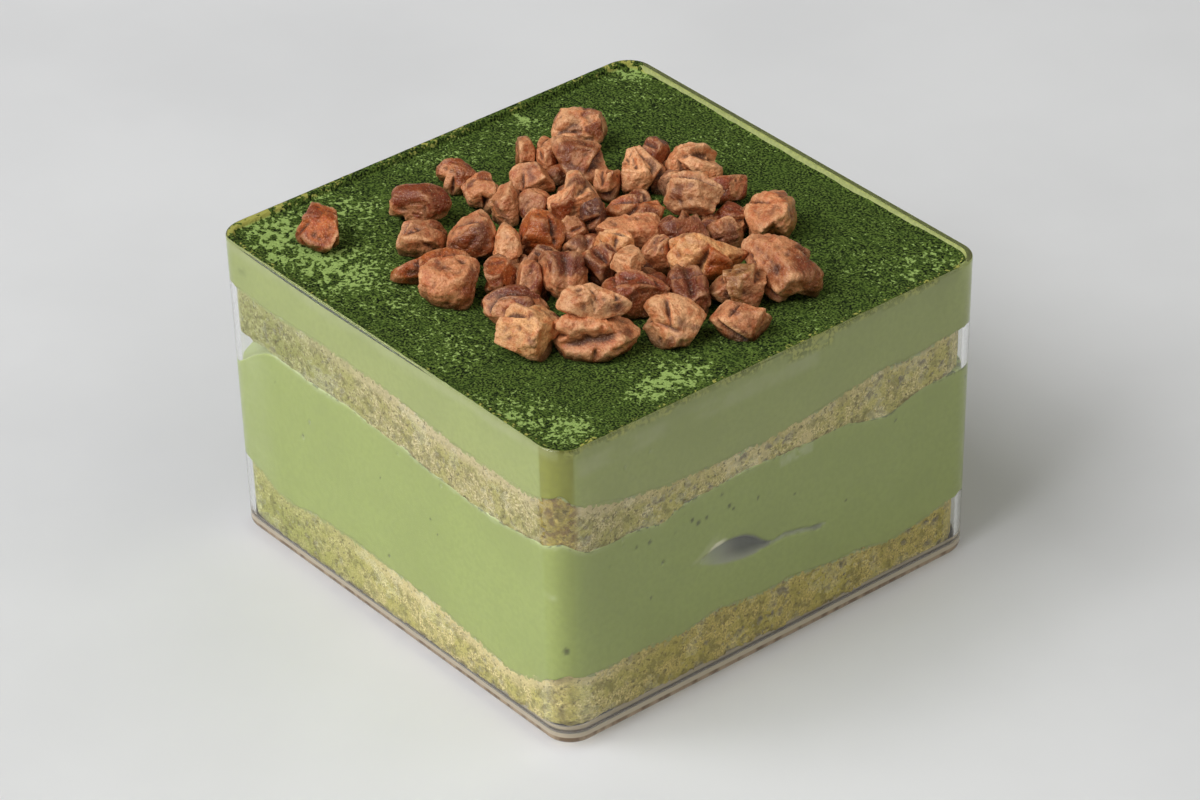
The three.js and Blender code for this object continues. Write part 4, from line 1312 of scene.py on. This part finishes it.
def make_nut(number, material):
    """One nut piece. Rays from the middle of its solid give its form and planes break it. Skin
    stays on the side that wasn't cut, wrinkled, and the cut faces are crumbled."""
    node = f"nut_{number:02d}"
    flesh, skin, side, share = LOOKS[number - 1]
    rng = np.random.RandomState(1000 + number)
    solid = solid_triangles(node)
    middle = (solid.reshape(-1, 3).min(0) + solid.reshape(-1, 3).max(0)) / 2
    axes = main_axes(solid - middle)
    polar, around, ways = ball(NUT_RINGS, NUT_COLUMNS)
    ways = ways[..., [2, 0, 1]] @ axes
    whole = ray_reach(solid - middle, ways.reshape(-1, 3)).reshape(polar.shape)
    whole = blur_rings(whole, 2) * NUT_SWELL

    skin_way = unit(np.array(WAYS[side]) + 0.3 * rng.normal(size=3))
    limit = 1 - 2 * share
    wander = 0.4 * fractal(ways * whole[..., None], 2.6, 3, 100 + number)
    cut = broken(ways, whole, rng)
    cover = ease(ways @ skin_way + wander, limit - 0.05, limit + 0.05) * (share > 0)
    cover = cover * ease(cut / whole + 0.05 * wander, 0.86, 0.9)

    body = ways * cut[..., None] + 40 * number
    rough, mottle = crumbled(body, axes, 200 + number)
    smooth = wrinkled(body, axes, around, np.sin(polar), 500 + number, 6 * rng.rand())
    size = cut.mean() / 4
    reach = cut + size * (rough * (1 - cover) + (smooth + 0.2 * rough + 0.1) * cover)
    reach = np.maximum(reach, NUT_CENTRE_GAP)
    points = middle + ways * reach[..., None]
    points[..., 2] -= NUT_SINK

    # curve sets where the painted shade in creases and the painted highlight on edges go.
    curve = (blur_rings(reach, 2) - blur_rings(reach, 14)) / size
    tone = 1 + 0.11 * rng.normal()
    tint = nut_tint(TINTS[flesh], TINTS[skin], cover, mottle, curve, body, tone, 800 + number)
    values = {"tint": dusted_and_shaded(points, body, tint, 0.8, 900 + number), "skin": cover}
    return ring_piece(f"nut_piece_{number:02d}", points, material, node, values)


CRUMB_RINGS = 14
CRUMB_COLUMNS = 20
CRUMB_PITCH = 2.1
CRUMB_NEAR = 7.0
CRUMB_NEIGHBOURS = 4
CRUMB_SIZES = (1.2, 2.6)
# How dark the crumbs are painted, as shade in the gaps between the pieces.
CRUMB_SHADE_TONE = 0.64
CRUMB_TINTS = ("tan", "brown", "rust", "mahogany", "amber", "yellow")


def crumb_places(rng):
    """Jittered grid places on the powder that have four or more nut pieces near them."""
    nuts = [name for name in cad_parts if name.startswith("nut_")]
    middles = np.array([np.mean(size_of(name), 0)[:2] for name in nuts])
    line = np.arange(-36, 36, CRUMB_PITCH)
    grid = np.stack(np.meshgrid(line, line), -1).reshape(-1, 2)
    grid = grid + rng.uniform(-0.4, 0.4, grid.shape) * CRUMB_PITCH
    away = np.linalg.norm(grid[:, None] - middles, axis=-1)
    return grid[(away < CRUMB_NEAR).sum(1) >= CRUMB_NEIGHBOURS]


def make_crumbs(material):
    """Small broken crumbs among the nut pieces, joined in one mesh: each is a chunk cut from a
    ball by planes, with crumbled relief, resting in the powder. Their tone is darkened as
    painted shade of the gaps between the pieces."""
    rng = np.random.RandomState(77)
    polar, _, ways = ball(CRUMB_RINGS, CRUMB_COLUMNS)
    triangles = loft_triangles(CRUMB_RINGS, CRUMB_COLUMNS)
    tones = [TINTS[key] for key in CRUMB_TINTS]
    all_points, all_triangles, all_tints, all_skins = [], [], [], []
    for count, (x, y) in enumerate(crumb_places(rng)):
        size = rng.uniform(*CRUMB_SIZES)
        reach = broken(ways, np.full(polar.shape, size), rng, 1)
        body = ways * reach[..., None] + 20 * count
        rough, mottle = crumbled(body, np.eye(3), 3000)
        reach = np.maximum(reach + 0.3 * rough, 0.3 * size)
        middle = np.array([x, y, powder_height(x, y) + 0.45 * size])
        points = middle + ways * reach[..., None]
        curve = (reach - blur_rings(reach, 2)) / 0.6
        cover = np.full(polar.shape, 0.5 * rng.rand())
        flesh, skin = tones[rng.randint(3)], tones[rng.randint(6)]
        tint = nut_tint(flesh, skin, cover, mottle, curve, body, CRUMB_SHADE_TONE, 3100)
        tint = dusted_and_shaded(points, body, tint, 0.5, 3200)
        all_triangles.append(triangles + sum(len(done) for done in all_points))
        all_points.append(with_ends(points))
        all_tints.append(np.concatenate([tint.reshape(-1, 4), tint[0, :1], tint[-1, :1]]))
        all_skins.append(with_ends(cover))
    values = {"tint": np.concatenate(all_tints), "skin": np.concatenate(all_skins)}
    return make_piece("nut_crumbs", np.concatenate(all_points), np.concatenate(all_triangles),
                      material, [], values)


# ---- Stage and light ----

LAMP_DISTANCE = 2.2
LAMP_AIM = Vector((0, 0, 0.03))
WHITE, WARM = (1, 1, 1), (1.0, 0.985, 0.86)
# Each lamp's azimuth, elevation, size, power and colour.
LAMPS = {
    "key": (-10, 54, 1.6, 19, WHITE), "front": (5, 46, 0.8, 9.9, WHITE),
    "left": (-40, 54, 0.8, 6, WHITE), "low": (-25, 30, 1.6, 10.6, WHITE),
    "behind": (130, 50, 1.6, 10.4, WARM), "right": (60, 30, 1.6, 3.2, WARM),
}
SURROUND = (1.0, 0.985, 0.95, 1)
SURROUND_STRENGTH = 0.12
FLOOR_HALF = 1.5
FLOOR_DROP = 0.0001


def make_floor():
    """A wide flat floor of pale, faintly clouded paper."""
    finish = Finish("floor", 0.75, (224, 225, 228))
    finish.spots((230, 231, 234), 60, 0.3, 0.7)
    mesh = bpy.data.meshes.new("floor")
    corners = [(x * FLOOR_HALF, y * FLOOR_HALF, 0) for x, y in ((-1, -1), (1, -1), (1, 1), (-1, 1))]
    mesh.from_pydata(corners, [], [(0, 1, 2, 3)])
    mesh.materials.append(finish.done())
    floor = add_object("floor", mesh)
    floor.location.z = -FLOOR_DROP


def make_lamp(name, azimuth, elevation, size, power, colour):
    """A square soft lamp that looks at the cake from an azimuth and elevation."""
    back = way_back(azimuth, elevation)
    data = bpy.data.lights.new(name, "AREA")
    data.energy = power
    data.size = size
    data.color = colour
    lamp = add_object(name, data)
    lamp.location = LAMP_AIM + back * LAMP_DISTANCE
    lamp.rotation_euler = (-back).to_track_quat("-Z", "Y").to_euler()


def make_light():
    """A wide soft key from the front, two smaller lamps beside it, a low one from the front left
    and two warm weak ones from behind and from the right, in a dim surround."""
    world = bpy.data.worlds.new("studio")
    bpy.context.scene.world = world
    world.use_nodes = True
    background = world.node_tree.nodes["Background"]
    background.inputs["Color"].default_value = SURROUND
    background.inputs["Strength"].default_value = SURROUND_STRENGTH
    for name, lamp in LAMPS.items():
        make_lamp(name, *lamp)
    view = bpy.context.scene.view_settings
    view.view_transform = "Standard"
    view.look = "None"


# ---- Everything ----

plastic = clear_plastic()
sponge = sponge_finish()
make_box(plastic)
make_sponge("sponge_below", "lower", sponge, 61)
make_middle_cream(cream_finish("thick_cream", (167, 180, 104), (196, 204, 164)))
make_sponge("sponge_above", "upper", sponge, 83)
make_top_cream(cream_finish("upper_cream", (169, 179, 110), (188, 193, 148)))
make_powder(powder_finish())
nut = nut_finish()
for number in range(1, len(LOOKS) + 1):
    make_nut(number, nut)
make_crumbs(nut)
make_floor()
make_light()
